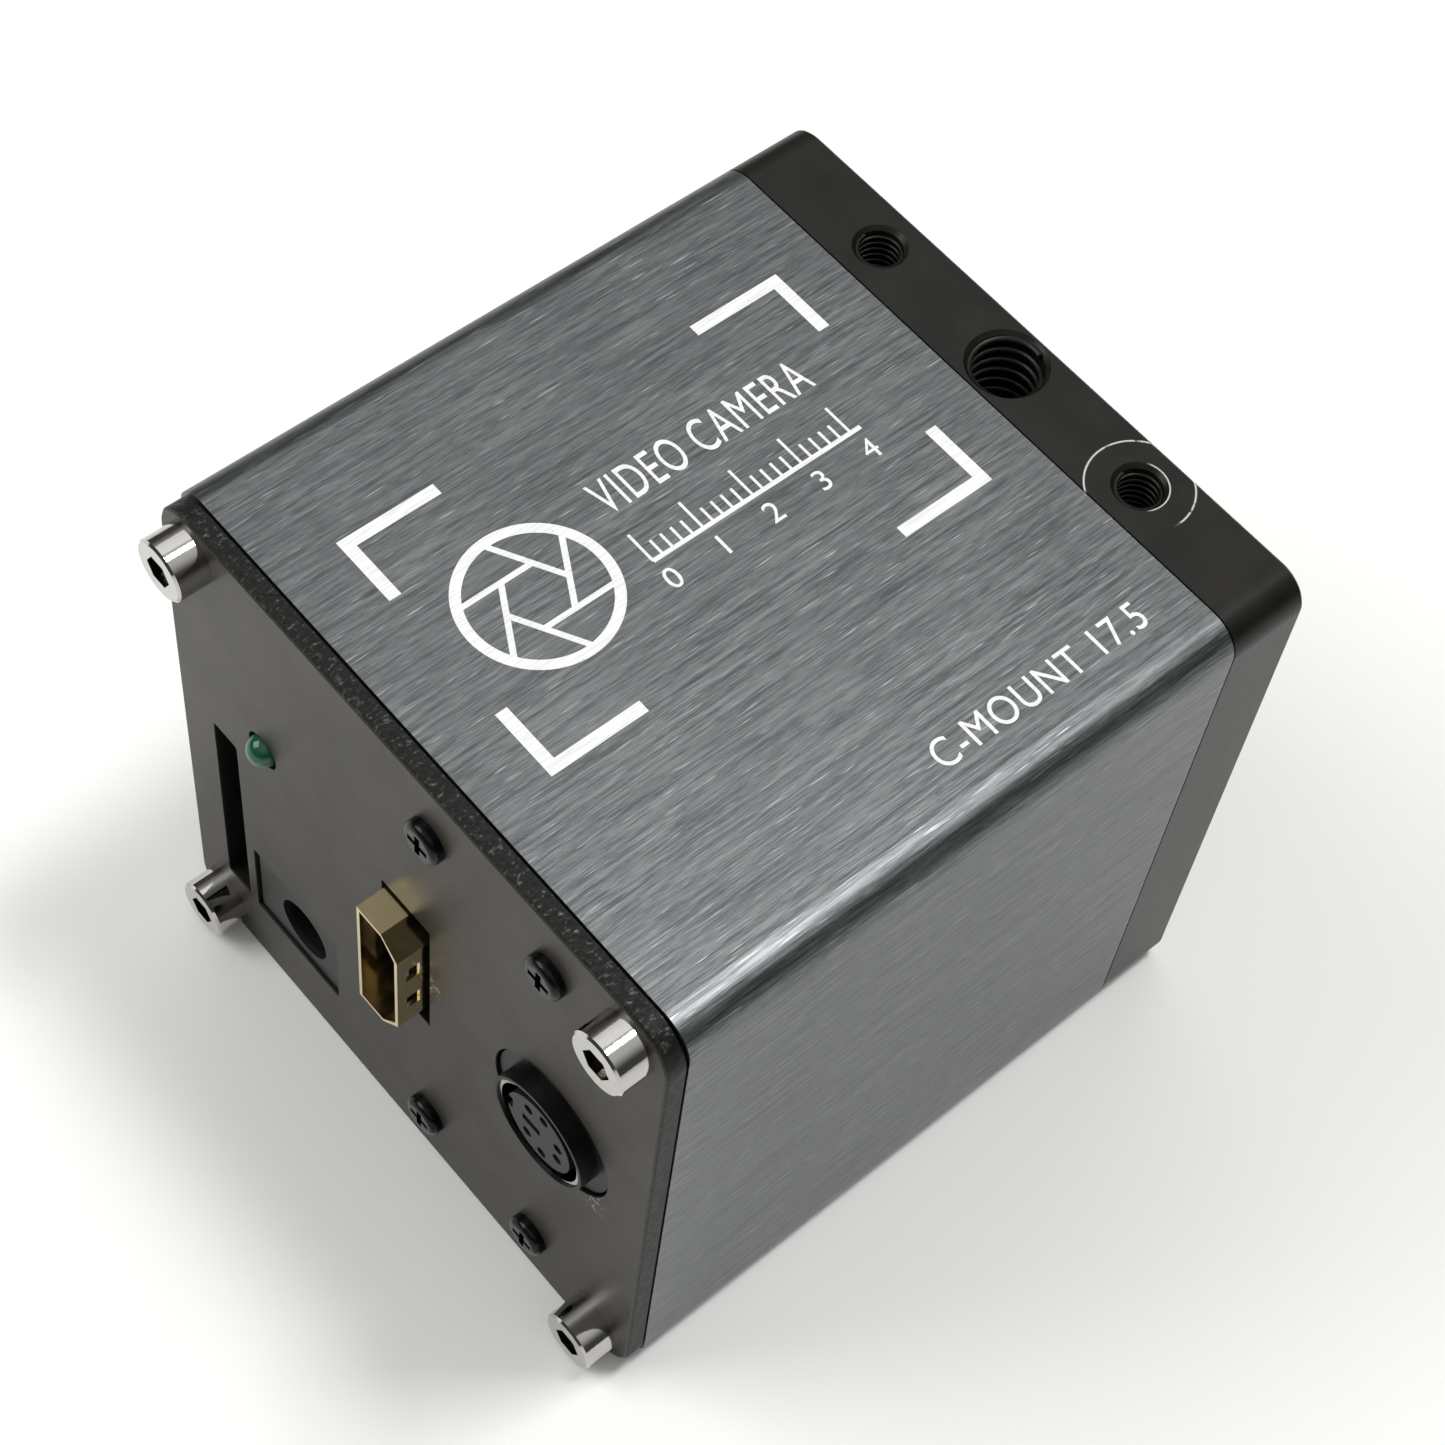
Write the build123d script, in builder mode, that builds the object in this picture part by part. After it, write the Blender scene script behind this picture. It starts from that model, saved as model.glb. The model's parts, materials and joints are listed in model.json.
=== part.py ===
from build123d import *
from math import sqrt
import os

# Cube-shaped C-mount video camera, as an assembly of separate pieces, in millimetres.
# +Z points up, out of the face with the tripod thread. +Y points out of the lens mount, so
# the rear plate with the sockets faces -Y. The origin is the middle of the footprint, on
# the bottom face of the case.

os.makedirs("parts", exist_ok=True)

# ---------------------------------------------------------------- driving dimensions

# Case
CASE_W = 60.0              # along X
CASE_H = 60.0              # along Z
SHELL_L = 54.2             # housing extrusion along Y
PLATE_T = 2.0              # rear plate
BLOCK_T = 7.8              # front block
WALL = 2.5
CORNER_R = 3.0             # outer corners of the housing and the front block
PLATE_CORNER_R = 3.8
EDGE_BREAK = 0.25          # bevel on outer edges of the plate and the block
REAR_SEAM = 0.25           # groove left open between the plate and the housing
FRONT_SEAM = 0.15
SEAM_DEPTH = 1.0

# Fit clearances
THREAD_GAP = 0.05          # screw thread to tapped wall, radial
HOLE_GAP = 0.15            # screw shank to clearance hole, radial
RUN_GAP = 0.05             # turning rings, radial
SEAT_GAP = 0.02            # turning ring to its seat, axial
CUT_GAP = 0.15             # socket face to plate cut-out
BOARD_GAP = 0.1            # board edge to its groove, each side
SLIDE_GAP = 0.15           # card carriage to its channel
SOLDER_GAP = 0.05          # component to board face
MOUTH_GAP = 0.2            # plate's inner face to the sockets behind it

# Corner screws, M3
M3_R = 1.5
M3_HEAD_R = 2.75
M3_HEAD_H = 3.0
M3_KEY = 2.5               # across the flats
M3_KEY_DEPTH = 1.6
FRONT_HEAD_DOWN = 0.3      # front screws' heads below the block's face
REAR_M3_LENGTH = 10.0
FRONT_M3_LENGTH = 12.0
CORNER_INSET_X = 4.1
CORNER_INSET_Z = 3.5
BOSS_R = 3.2
TAP_DEPTH = 12.0

# Rail screws, M2.5
M25_R = 1.25
M25_HEAD_R = 1.95
M25_HEAD_H = 1.1
M25_LENGTH = 6.0
CROSS_SPAN = 2.3           # cross recess, tip to tip
CROSS_SLOT = 0.6
CROSS_DEPTH = 0.7
RAIL_SCREW_Z = 6.5         # from the top and the bottom of the case

# Boards
BOARD_T = 1.6
BOARD_BACK = 0.6           # plate's inner face to the boards
MAIN_X = 3.0               # main board's -X face
MAIN_SENSOR_ROOM = 5.4     # main board's end to the sensor board
CONTROL_L = 26.4
POWER_GAP = 0.2            # power board's long edges to the case's walls
RIB_T = 1.0                # rib in the housing beside the power board
RIB_H = 2.1
POWER_PAST = 2.0           # power board past the card socket
RAIL_L = 33.0
RAIL_DOWN = 3.0            # rail below and above its screws
RAIL_UP = 3.5
RAIL_SIDE = 4.2            # rails past the main board
RAIL_PAST = 9.7            # rails past the control board
SCREW_PAST = (0.3, 7.1)    # rail screws past the main board and the control board
GROOVE_DEPTH = 1.6

# Card slot and card socket
CARD_SIDE = 4.6            # case side to the slot
CARD_SLOT_W = 3.2
CARD_SLOT_L = 24.5
CARD_SLOT_Z = 8.5          # slot's lower end
CARD_LAP = 0.2             # slot's +X side past the power board's face
CARD_SOCKET_L = 28.0
CARD_SHEET = 0.25
CARD_FLOOR = 0.5
CARD_ROOM = 0.1            # card channel past the slot's ends
CARD_THUMB = 8.0           # cover's side of the notch for a thumb
CARD_FRAME = 1.2           # side walls and stop of the socket's base
CARD_CONTACTS = 9
CARD_FIRST = 2.4           # channel's side to the first contact
CARD_LAST = 2.3            # last contact to the channel's other side
CARD_CONTACT_W = 0.9
STRIP_T = 0.2
STRIP_RISE = 1.2           # contact's tip above the tray's floor
STRIP_TIP = (12.5, 13.5)   # mouth of the socket to the flat tip of a contact
STRIP_ROOT = 18.0          # mouth of the socket to where a contact leaves the floor
FINGER = (1.5, 1.2)        # carriage finger's reach into the channel, and its thickness
CARRIAGE_W = 2.0
CARRIAGE_L = 8.0
CARRIAGE_FRONT = 12.8      # mouth of the socket to the carriage
SPRING_WIRE = 0.2
SPRING_R = 0.65
SPRING_TURNS = 6

# Power jack, 5.5 mm barrel with a 2.1 mm pin
JACK_W = 11.1              # across, from the board
JACK_H = 9.15
JACK_Z = 13.15
JACK_L = 14.2
JACK_FLANGE = 3.6
JACK_SINK = 0.3            # face behind the plate's outer face
JACK_CUT_GAP = 0.3         # flange to the plate's cut-out
JACK_BARREL_R = 4.2        # round back part of the body
JACK_BORE_R = 3.05
JACK_BORE_RISE = 6.3       # bore centre from the board
JACK_BORE_DROP = 0.35
JACK_BORE_DEPTH = 10.0
JACK_PIN_R = 1.05
JACK_PIN_BACK = 1.2        # pin's tip behind the face
JACK_PIN_ROOT = 2.0
JACK_SPRING_T = 0.4
JACK_SPRING_W = 2.0
JACK_SPRING_Y = 5.0        # face to the contact spring's slot
JACK_SPRING_BEND = 2.5     # spring's end to its crest, and crest to its foot

# Status lamp
LED_R = 1.5
LED_FLANGE_R = 1.9
LED_FLANGE_T = 1.0
LED_L = 5.3
LED_HOLE_GAP = 0.3         # lamp to its hole in the plate, radial
LED_SINK = 0.2             # dome's centre behind the plate's outer face
LED_RISE = 2.5             # lamp's axis from the power board
LED_Z = 37.7
LED_LEG = 0.5
LED_LEG_SPREAD = 1.27
LED_LEG_L = 2.0            # lamp's flange to the bend in its legs

# Digital video socket
VIDEO_WIDE = 14.8
VIDEO_NARROW = 10.8
VIDEO_TALL = 5.1
VIDEO_STEP = 3.1           # stretch of the height that has the full width
VIDEO_SHEET = 0.35
VIDEO_GAP = 0.1            # shell to the main board
VIDEO_PROUD = 2.8
VIDEO_L = 11.5
VIDEO_RISE = 0.95          # socket's centre above the middle of the case
VIDEO_TONGUE = (1.7, 11.2)
VIDEO_TONGUE_BACK = 2.4
VIDEO_BLOCK_L = 4.5
VIDEO_CONTACTS = 19
VIDEO_PITCH = 0.5
VIDEO_CUT_SIDE = 0.5       # plate cut-out round the shell
VIDEO_WINDOW = (1.3, 1.8)
VIDEO_WINDOW_Y = 0.9       # mouth to the windows
VIDEO_WINDOW_Z = 2.3       # socket's centre to each window
VIDEO_STRIP = (0.3, 0.12)

# Control socket, 6-pin mini-DIN
DIN_SIDE = 11.35           # case side to the socket's axis
DIN_UP = 0.4               # above the middle of the case
DIN_HOLE_R = 6.9
DIN_NOSE_R = 5.35
DIN_BORE_R = 5.0
DIN_RING_T = 0.35
DIN_CORE_R = 3.75
DIN_FLANGE_GAP = 0.25      # flange to the plate's hole, radial
DIN_FLANGE_SINK = 0.3      # flange behind the plate's outer face
DIN_PROUD = 1.4
DIN_BODY = 13.2            # square body behind the plate
DIN_BODY_L = 9.2
DIN_RISE = 6.85            # axis from the control board
DIN_PIN_R = 0.5
DIN_PIN_ROWS = [(-1.3, 2.0), (0.5, 2.8), (2.3, 0.9)]     # row's X, and its pins' reach along Z
DIN_KEY = (2.1, 0.85)
DIN_KEY_SIDE = 0.9         # key slot's centre towards -X
DIN_NOTCH = (0.6, 1.5)     # notch in the insulator's -X side
DIN_WALL = 1.2
DIN_RING_BACK = 0.2        # ring's edge behind the nose's tip
DIN_CORE_BACK = 0.15
DIN_CONTACT_L = 5.5

# Lens mount, one inch by 32 threads per inch
FLANGE_FOCAL = 17.526      # mount face to the image plane
LENS_THREAD_R = 12.7
LENS_THREAD_L = 5.0
LENS_CHAMFER = 0.4
RING_R = 16.0
RING_L = 10.0
RING_PROUD = 1.0
RING_WEB = 1.0
RING_STOP_R = 10.6
LOCK_W = 2.8
LOCK_T = 2.4
LOCK_NOTCH = (3.0, 1.3)
RING_NOTCH = (1.6, 0.7)
LOCK_POCKET_GAP = 0.2
FILTER_R = 12.4
FILTER_T = 1.1
GASKET_T = 0.4
RETAINER_T = 1.2

# Tapped holes in the top of the front block
TRIPOD_R = 3.175           # quarter inch by 20 threads per inch
TRIPOD_FLOOR = 2.0         # metal left above the lock ring's pocket
M4_R = 2.0
M4_DEPTH = 8.0
M4_REACH = 15.1            # from the tripod hole
COUNTERSINK = 0.35

# Sensor
DIE = (8.6, 6.6, 0.27)
PACKAGE = (15.0, 13.0)
PACKAGE_FLOOR = 1.2
PACKAGE_RIM = 0.65         # rim above the die
SENSOR_GLASS_T = 0.5
STANDOFF_R = 2.5
STANDOFF_GAP = 2.7
STANDOFF_STUD = 4.0
SENSOR_EDGE = 3.5          # standoff's axis to the sensor board's edge

# Chips and parts on the boards
PROCESSOR = (14.0, 1.4)
PAD_T = 0.5
SINK_SIZE = 17.0
SINK_BASE = 1.2
SINK_FIN = (0.8, 5.0)
SINK_FINS = 7
MEMORY = (9.0, 12.0, 1.1)
CONTROL_CHIP = (7.0, 1.2)
INDUCTOR = (10.0, 5.0)
CAPACITOR_R = 3.15
CAPACITOR_H = 5.8
HEADER = (12.7, 5.0)
FLEX_T = 0.2
FLEX_SLOT = 0.3
FLEX_SOCKET = (4.5, 1.6)
FLEX_REACH = 2.5
SENSOR_FLEX_W = 10.0
POWER_FLEX_W = 5.0
FLEX_BEND = 2.0

# ---------------------------------------------------------------- stations

LENGTH = M3_HEAD_H + PLATE_T + SHELL_L + BLOCK_T + RING_PROUD
Y_REAR = M3_HEAD_H - LENGTH / 2            # outer face of the rear plate
Y_SHELL = Y_REAR + PLATE_T
Y_BLOCK = Y_SHELL + SHELL_L
Y_FACE = Y_BLOCK + BLOCK_T
Y_FLANGE = Y_FACE + RING_PROUD
MID_Z = CASE_H / 2

CORNER_DX = CASE_W - 2 * CORNER_INSET_X
CORNER_DZ = CASE_H - 2 * CORNER_INSET_Z

SLOT_X = -CASE_W / 2 + CARD_SIDE           # slot's -X side
POWER_X = SLOT_X + CARD_SLOT_W - CARD_LAP
POWER_FACE = POWER_X + BOARD_T             # face that carries the jack
DIN_X = CASE_W / 2 - DIN_SIDE
DIN_Z = MID_Z + DIN_UP
CONTROL_FACE = DIN_X - DIN_RISE            # face that carries the control socket
CONTROL_X = CONTROL_FACE - BOARD_T
MAIN_FACE = MAIN_X + BOARD_T

VIDEO_Z = MID_Z + VIDEO_RISE
VIDEO_X = MAIN_X - VIDEO_GAP - VIDEO_TALL        # wide side of the video socket
VIDEO_TIP = Y_REAR - VIDEO_PROUD
VIDEO_END = VIDEO_TIP + VIDEO_L

IMAGE_Y = Y_FLANGE - FLANGE_FOCAL
SENSOR_FRONT = IMAGE_Y - DIE[2] - PACKAGE_FLOOR
SENSOR_BACK = SENSOR_FRONT - BOARD_T
STANDOFF_REACH = (RING_R + STANDOFF_R + STANDOFF_GAP) / sqrt(2)
SENSOR_SIDE = 2 * (STANDOFF_REACH + SENSOR_EDGE)

BOARD_Y = Y_SHELL + BOARD_BACK
MAIN_END = SENSOR_BACK - MAIN_SENSOR_ROOM
CARD_MOUTH = Y_SHELL + MOUTH_GAP
CARD_END = CARD_MOUTH + CARD_SOCKET_L
POWER_END = CARD_END + POWER_PAST

RAIL_X = (MAIN_X - RAIL_SIDE, CONTROL_FACE + RAIL_PAST)
RAIL_SCREWS_X = (MAIN_X + SCREW_PAST[0], CONTROL_X + SCREW_PAST[1])
RAIL_LOW = (RAIL_SCREW_Z - RAIL_DOWN, RAIL_SCREW_Z + RAIL_UP)
RAIL_HIGH = (CASE_H - RAIL_LOW[1], CASE_H - RAIL_LOW[0])
BOARD_Z = (RAIL_LOW[1] - GROOVE_DEPTH + BOARD_GAP, RAIL_HIGH[0] + GROOVE_DEPTH - BOARD_GAP)
RAIL_SCREWS = [(x, z) for x in RAIL_SCREWS_X for z in (RAIL_SCREW_Z, CASE_H - RAIL_SCREW_Z)]


def at_y(y):
    """Sketch plane across the case at station y. It faces the rear, with X and Z as its axes."""
    return Plane.XZ.offset(-y)


def block(x, y, z, mode=Mode.ADD):
    """Box in the open builder, from its low and high side along each axis."""
    with Locations(((x[0] + x[1]) / 2, (y[0] + y[1]) / 2, (z[0] + z[1]) / 2)):
        Box(x[1] - x[0], y[1] - y[0], z[1] - z[0], mode=mode)


def about(middle, size):
    """Low and high side of a stretch of this size about its middle."""
    return (middle - size / 2, middle + size / 2)


def save(builder, name):
    """Label a finished piece and write it as a node of its own."""
    builder.part.label = name
    export_step(builder.part, f"parts/{name}.step")


# ---------------------------------------------------------------- case

# Square extrusion with a screw boss in each corner, and two ribs that hold the power board.
with BuildPart() as housing:
    with BuildSketch(at_y(Y_BLOCK)):
        with Locations((0, MID_Z)):
            RectangleRounded(CASE_W, CASE_H, CORNER_R)
            Rectangle(CASE_W - 2 * WALL, CASE_H - 2 * WALL, mode=Mode.SUBTRACT)
            with GridLocations(CORNER_DX, CORNER_DZ, 2, 2):
                Circle(BOSS_R)
        rib_x = POWER_FACE + BOARD_GAP + RIB_T / 2
        with Locations((rib_x, WALL + RIB_H / 2), (rib_x, CASE_H - WALL - RIB_H / 2)):
            Rectangle(RIB_T, RIB_H)
    extrude(amount=SHELL_L)
    for mouth, depth in ((Y_SHELL, -TAP_DEPTH), (Y_BLOCK, TAP_DEPTH)):
        with BuildSketch(at_y(mouth)):
            with Locations((0, MID_Z)):
                with GridLocations(CORNER_DX, CORNER_DZ, 2, 2):
                    Circle(M3_R)
        extrude(amount=depth, mode=Mode.SUBTRACT)
save(housing, "housing")

# Rear plate, with a groove round its inner edge that shows as a dark seam.
with BuildPart() as rear_plate:
    with BuildSketch(at_y(Y_SHELL)):
        with Locations((0, MID_Z)):
            RectangleRounded(CASE_W, CASE_H, PLATE_CORNER_R)
    extrude(amount=PLATE_T)
    chamfer(rear_plate.faces().sort_by(Axis.Y)[0].outer_wire().edges(), EDGE_BREAK)
    with BuildSketch(at_y(Y_SHELL)):
        with Locations((0, MID_Z)):
            RectangleRounded(CASE_W, CASE_H, PLATE_CORNER_R)
            RectangleRounded(
                CASE_W - 2 * SEAM_DEPTH,
                CASE_H - 2 * SEAM_DEPTH,
                PLATE_CORNER_R - SEAM_DEPTH,
                mode=Mode.SUBTRACT,
            )
    extrude(amount=REAR_SEAM, mode=Mode.SUBTRACT)
    with BuildSketch(at_y(Y_SHELL)):
        with Locations((0, MID_Z)):
            with GridLocations(CORNER_DX, CORNER_DZ, 2, 2):
                Circle(M3_R + HOLE_GAP)
        with Locations(*RAIL_SCREWS):
            Circle(M25_R + HOLE_GAP)
        with Locations((SLOT_X + CARD_SLOT_W / 2, CARD_SLOT_Z + CARD_SLOT_L / 2)):
            RectangleRounded(CARD_SLOT_W, CARD_SLOT_L, 0.4)
        with Locations((POWER_FACE + LED_RISE, LED_Z)):
            Circle(LED_R + LED_HOLE_GAP)
        with Locations((POWER_FACE + JACK_W / 2, JACK_Z)):
            RectangleRounded(JACK_W + 2 * JACK_CUT_GAP, JACK_H + 2 * JACK_CUT_GAP, 0.3)
        with Locations((VIDEO_X + VIDEO_TALL / 2, VIDEO_Z)):
            Rectangle(VIDEO_TALL + 2 * VIDEO_CUT_SIDE, VIDEO_WIDE + 2 * VIDEO_CUT_SIDE)
        with Locations((DIN_X, DIN_Z)):
            Circle(DIN_HOLE_R)
    extrude(amount=PLATE_T, mode=Mode.SUBTRACT)
save(rear_plate, "rear_plate")

# Front block: lens ring bore, lock ring pocket, and three tapped holes in its top edge.
LOCK_R = RING_R + LOCK_W
POCKET_R = LOCK_R + LOCK_POCKET_GAP
FRONT_HEAD_SINK = M3_HEAD_H + FRONT_HEAD_DOWN
with BuildPart() as front_block:
    with BuildSketch(at_y(Y_FACE)):
        with Locations((0, MID_Z)):
            RectangleRounded(CASE_W, CASE_H, CORNER_R)
    extrude(amount=BLOCK_T)
    chamfer(front_block.faces().sort_by(Axis.Y)[-1].outer_wire().edges(), EDGE_BREAK)
    with BuildSketch(at_y(Y_BLOCK + FRONT_SEAM)):
        with Locations((0, MID_Z)):
            RectangleRounded(CASE_W, CASE_H, CORNER_R)
            RectangleRounded(
                CASE_W - 2 * SEAM_DEPTH,
                CASE_H - 2 * SEAM_DEPTH,
                CORNER_R - SEAM_DEPTH,
                mode=Mode.SUBTRACT,
            )
    extrude(amount=FRONT_SEAM, mode=Mode.SUBTRACT)
    with BuildSketch(at_y(Y_FACE)):
        with Locations((0, MID_Z)):
            Circle(RING_R)
            with GridLocations(CORNER_DX, CORNER_DZ, 2, 2):
                Circle(M3_R + HOLE_GAP)
    extrude(amount=BLOCK_T, mode=Mode.SUBTRACT)
    with BuildSketch(at_y(Y_FACE)):
        with Locations((0, MID_Z)):
            Circle(POCKET_R)
    extrude(amount=LOCK_T + SEAT_GAP, mode=Mode.SUBTRACT)
    with BuildSketch(at_y(Y_FACE)):
        with Locations((0, MID_Z)):
            with GridLocations(CORNER_DX, CORNER_DZ, 2, 2):
                Circle(M3_HEAD_R + HOLE_GAP)
    extrude(amount=FRONT_HEAD_SINK, mode=Mode.SUBTRACT)
    with BuildSketch(at_y(Y_BLOCK)):
        with Locations((0, MID_Z)):
            with GridLocations(2 * STANDOFF_REACH, 2 * STANDOFF_REACH, 2, 2):
                Circle(M25_R)
    extrude(amount=-STANDOFF_STUD, mode=Mode.SUBTRACT)
    with Locations((0, Y_BLOCK + BLOCK_T / 2, CASE_H)):
        CounterSinkHole(
            TRIPOD_R, TRIPOD_R + COUNTERSINK, CASE_H / 2 - POCKET_R - TRIPOD_FLOOR, 90
        )
    with Locations(*[(x, Y_BLOCK + BLOCK_T / 2, CASE_H) for x in (-M4_REACH, M4_REACH)]):
        CounterSinkHole(M4_R, M4_R + COUNTERSINK, M4_DEPTH, 90)
save(front_block, "front_block")

# ---------------------------------------------------------------- screws


def socket_screw(length):
    """M3 socket cap screw on the Z axis. Its head stands on the XY plane."""
    with BuildPart() as screw:
        Cylinder(M3_HEAD_R, M3_HEAD_H, align=(Align.CENTER, Align.CENTER, Align.MIN))
        chamfer(screw.faces().sort_by(Axis.Z)[-1].edges(), 0.2)
        with BuildSketch(Plane.XY.offset(M3_HEAD_H)):
            RegularPolygon(M3_KEY / 2, 6, major_radius=False)
        extrude(amount=-M3_KEY_DEPTH, mode=Mode.SUBTRACT)
        Cylinder(M3_R - THREAD_GAP, length, align=(Align.CENTER, Align.CENTER, Align.MAX))
    return screw.part


def pan_screw(length, radius, head_r, head_h):
    """Cross-recess pan head screw on the Z axis. Its head stands on the XY plane."""
    with BuildPart() as screw:
        Cylinder(head_r, head_h, align=(Align.CENTER, Align.CENTER, Align.MIN))
        fillet(screw.faces().sort_by(Axis.Z)[-1].edges(), head_h * 0.55)
        with BuildSketch(Plane.XY.offset(head_h)):
            Rectangle(CROSS_SPAN, CROSS_SLOT)
            Rectangle(CROSS_SLOT, CROSS_SPAN)
        extrude(amount=-CROSS_DEPTH, mode=Mode.SUBTRACT)
        Cylinder(radius - THREAD_GAP, length, align=(Align.CENTER, Align.CENTER, Align.MAX))
    return screw.part


rear_screw = socket_screw(REAR_M3_LENGTH)
with BuildPart(at_y(Y_REAR)) as cap_screws:
    with Locations((0, MID_Z)):
        with GridLocations(CORNER_DX, CORNER_DZ, 2, 2):
            add(rear_screw)
save(cap_screws, "cap_screws")

front_facing = Plane(origin=(0, Y_FACE - FRONT_HEAD_SINK, 0), x_dir=(-1, 0, 0), z_dir=(0, 1, 0))
front_screw = socket_screw(FRONT_M3_LENGTH)
with BuildPart(front_facing) as front_screws:
    with Locations((0, MID_Z)):
        with GridLocations(CORNER_DX, CORNER_DZ, 2, 2):
            add(front_screw)
save(front_screws, "front_screws")

rail_screw = pan_screw(M25_LENGTH, M25_R, M25_HEAD_R, M25_HEAD_H)
with BuildPart(at_y(Y_REAR)) as pan_screws:
    with Locations(*RAIL_SCREWS):
        add(rail_screw)
save(pan_screws, "pan_screws")

# ---------------------------------------------------------------- rails and boards

# Each rail hangs on two of the pan screws, and its grooves hold the main and control boards.
for name, z, groove_z, screw_z in (
    ("lower_rail", RAIL_LOW, (RAIL_LOW[1] - GROOVE_DEPTH, RAIL_LOW[1]), RAIL_SCREW_Z),
    ("upper_rail", RAIL_HIGH, (RAIL_HIGH[0], RAIL_HIGH[0] + GROOVE_DEPTH), CASE_H - RAIL_SCREW_Z),
):
    with BuildPart() as rail:
        block(RAIL_X, (Y_SHELL, Y_SHELL + RAIL_L), z)
        for board_x in (MAIN_X, CONTROL_X):
            groove_x = (board_x - BOARD_GAP, board_x + BOARD_T + BOARD_GAP)
            block(groove_x, (Y_SHELL, Y_SHELL + RAIL_L), groove_z, Mode.SUBTRACT)
        with BuildSketch(at_y(Y_SHELL)):
            with Locations(*[(x, screw_z) for x in RAIL_SCREWS_X]):
                Circle(M25_R)
        extrude(amount=-M25_LENGTH, mode=Mode.SUBTRACT)
    save(rail, name)

with BuildPart() as main_board:
    block((MAIN_X, MAIN_FACE), (BOARD_Y, MAIN_END), BOARD_Z)
save(main_board, "main_board")

with BuildPart() as control_board:
    block((CONTROL_X, CONTROL_FACE), (BOARD_Y, BOARD_Y + CONTROL_L), BOARD_Z)
save(control_board, "control_board")

# The power board stands in the housing, between its ribs and the corner bosses.
with BuildPart() as power_board:
    block((POWER_X, POWER_FACE), (BOARD_Y, POWER_END), (WALL + POWER_GAP, CASE_H - WALL - POWER_GAP))
save(power_board, "power_board")

# ---------------------------------------------------------------- card socket

# Plastic tray on the power board's -X face, with its mouth behind the slot in the plate. The
# carriage and its spring run in a pocket beside the card.
TRAY_X = (SLOT_X + CARD_SHEET, POWER_X - SOLDER_GAP)
CHANNEL_X = (TRAY_X[0], TRAY_X[1] - CARD_FLOOR)
CHANNEL_Z = (CARD_SLOT_Z - CARD_ROOM, CARD_SLOT_Z + CARD_SLOT_L + CARD_ROOM)
POCKET_Z = (CHANNEL_Z[1], CHANNEL_Z[1] + CARRIAGE_W + 2 * SLIDE_GAP)
TRAY_Z = (CHANNEL_Z[0] - CARD_FRAME, POCKET_Z[1] + CARD_FRAME)
CHANNEL_END = CARD_END - CARD_FRAME
CARRIAGE_Y = CARD_MOUTH + CARRIAGE_FRONT
with BuildPart() as card_base:
    block(TRAY_X, (CARD_MOUTH, CARD_END), TRAY_Z)
    block(CHANNEL_X, (CARD_MOUTH, CHANNEL_END), CHANNEL_Z, Mode.SUBTRACT)
    block(CHANNEL_X, (CARRIAGE_Y, CHANNEL_END), (CHANNEL_Z[1], POCKET_Z[1]), Mode.SUBTRACT)
save(card_base, "card_base")

with BuildPart() as card_cover:
    cover_x = (TRAY_X[0] - CARD_SHEET, TRAY_X[0])
    block(cover_x, (CARD_MOUTH, CARD_END), TRAY_Z)
    for side_z in ((TRAY_Z[0] - CARD_SHEET, TRAY_Z[0]), (TRAY_Z[1], TRAY_Z[1] + CARD_SHEET)):
        block((cover_x[0], TRAY_X[1]), (CARD_MOUTH, CARD_END), side_z)
    notch_z = (CHANNEL_Z[0] + CARD_THUMB, CHANNEL_Z[1] - CARD_THUMB)
    block(cover_x, (CARD_MOUTH, CARD_MOUTH + 2.5), notch_z, Mode.SUBTRACT)
save(card_cover, "card_cover")

# Sprung strips that touch the card, rising from the tray's floor.
with BuildPart() as card_contacts:
    floor_x = CHANNEL_X[1]
    card_pitch = (CHANNEL_Z[1] - CHANNEL_Z[0] - CARD_FIRST - CARD_LAST) / (CARD_CONTACTS - 1)
    for i in range(CARD_CONTACTS):
        with BuildSketch(Plane.XY.offset(CHANNEL_Z[0] + CARD_FIRST + i * card_pitch)):
            Polygon(
                (floor_x, CHANNEL_END),
                (floor_x - STRIP_T, CHANNEL_END),
                (floor_x - STRIP_T, CARD_MOUTH + STRIP_ROOT),
                (floor_x - STRIP_RISE, CARD_MOUTH + STRIP_TIP[1]),
                (floor_x - STRIP_RISE, CARD_MOUTH + STRIP_TIP[0]),
                (floor_x - STRIP_RISE + STRIP_T, CARD_MOUTH + STRIP_TIP[0]),
                (floor_x - STRIP_RISE + STRIP_T, CARD_MOUTH + STRIP_TIP[1]),
                (floor_x, CARD_MOUTH + STRIP_ROOT),
                align=None,
            )
        extrude(amount=CARD_CONTACT_W / 2, both=True)
save(card_contacts, "card_contacts")

# Push-push carriage: its finger stands in the card's way.
CARRIAGE_X = (CHANNEL_X[0] + SLIDE_GAP, CHANNEL_X[1] - SLIDE_GAP)
CARRIAGE_Z = (POCKET_Z[0] + SLIDE_GAP, POCKET_Z[1] - SLIDE_GAP)
CARRIAGE_END = CARRIAGE_Y + CARRIAGE_L
with BuildPart() as card_slider:
    block(CARRIAGE_X, (CARRIAGE_Y, CARRIAGE_END), CARRIAGE_Z)
    finger_z = (CHANNEL_Z[1] - FINGER[0], CARRIAGE_Z[0])
    block(CARRIAGE_X, (CARRIAGE_END - FINGER[1], CARRIAGE_END), finger_z)
save(card_slider, "card_slider")

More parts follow.
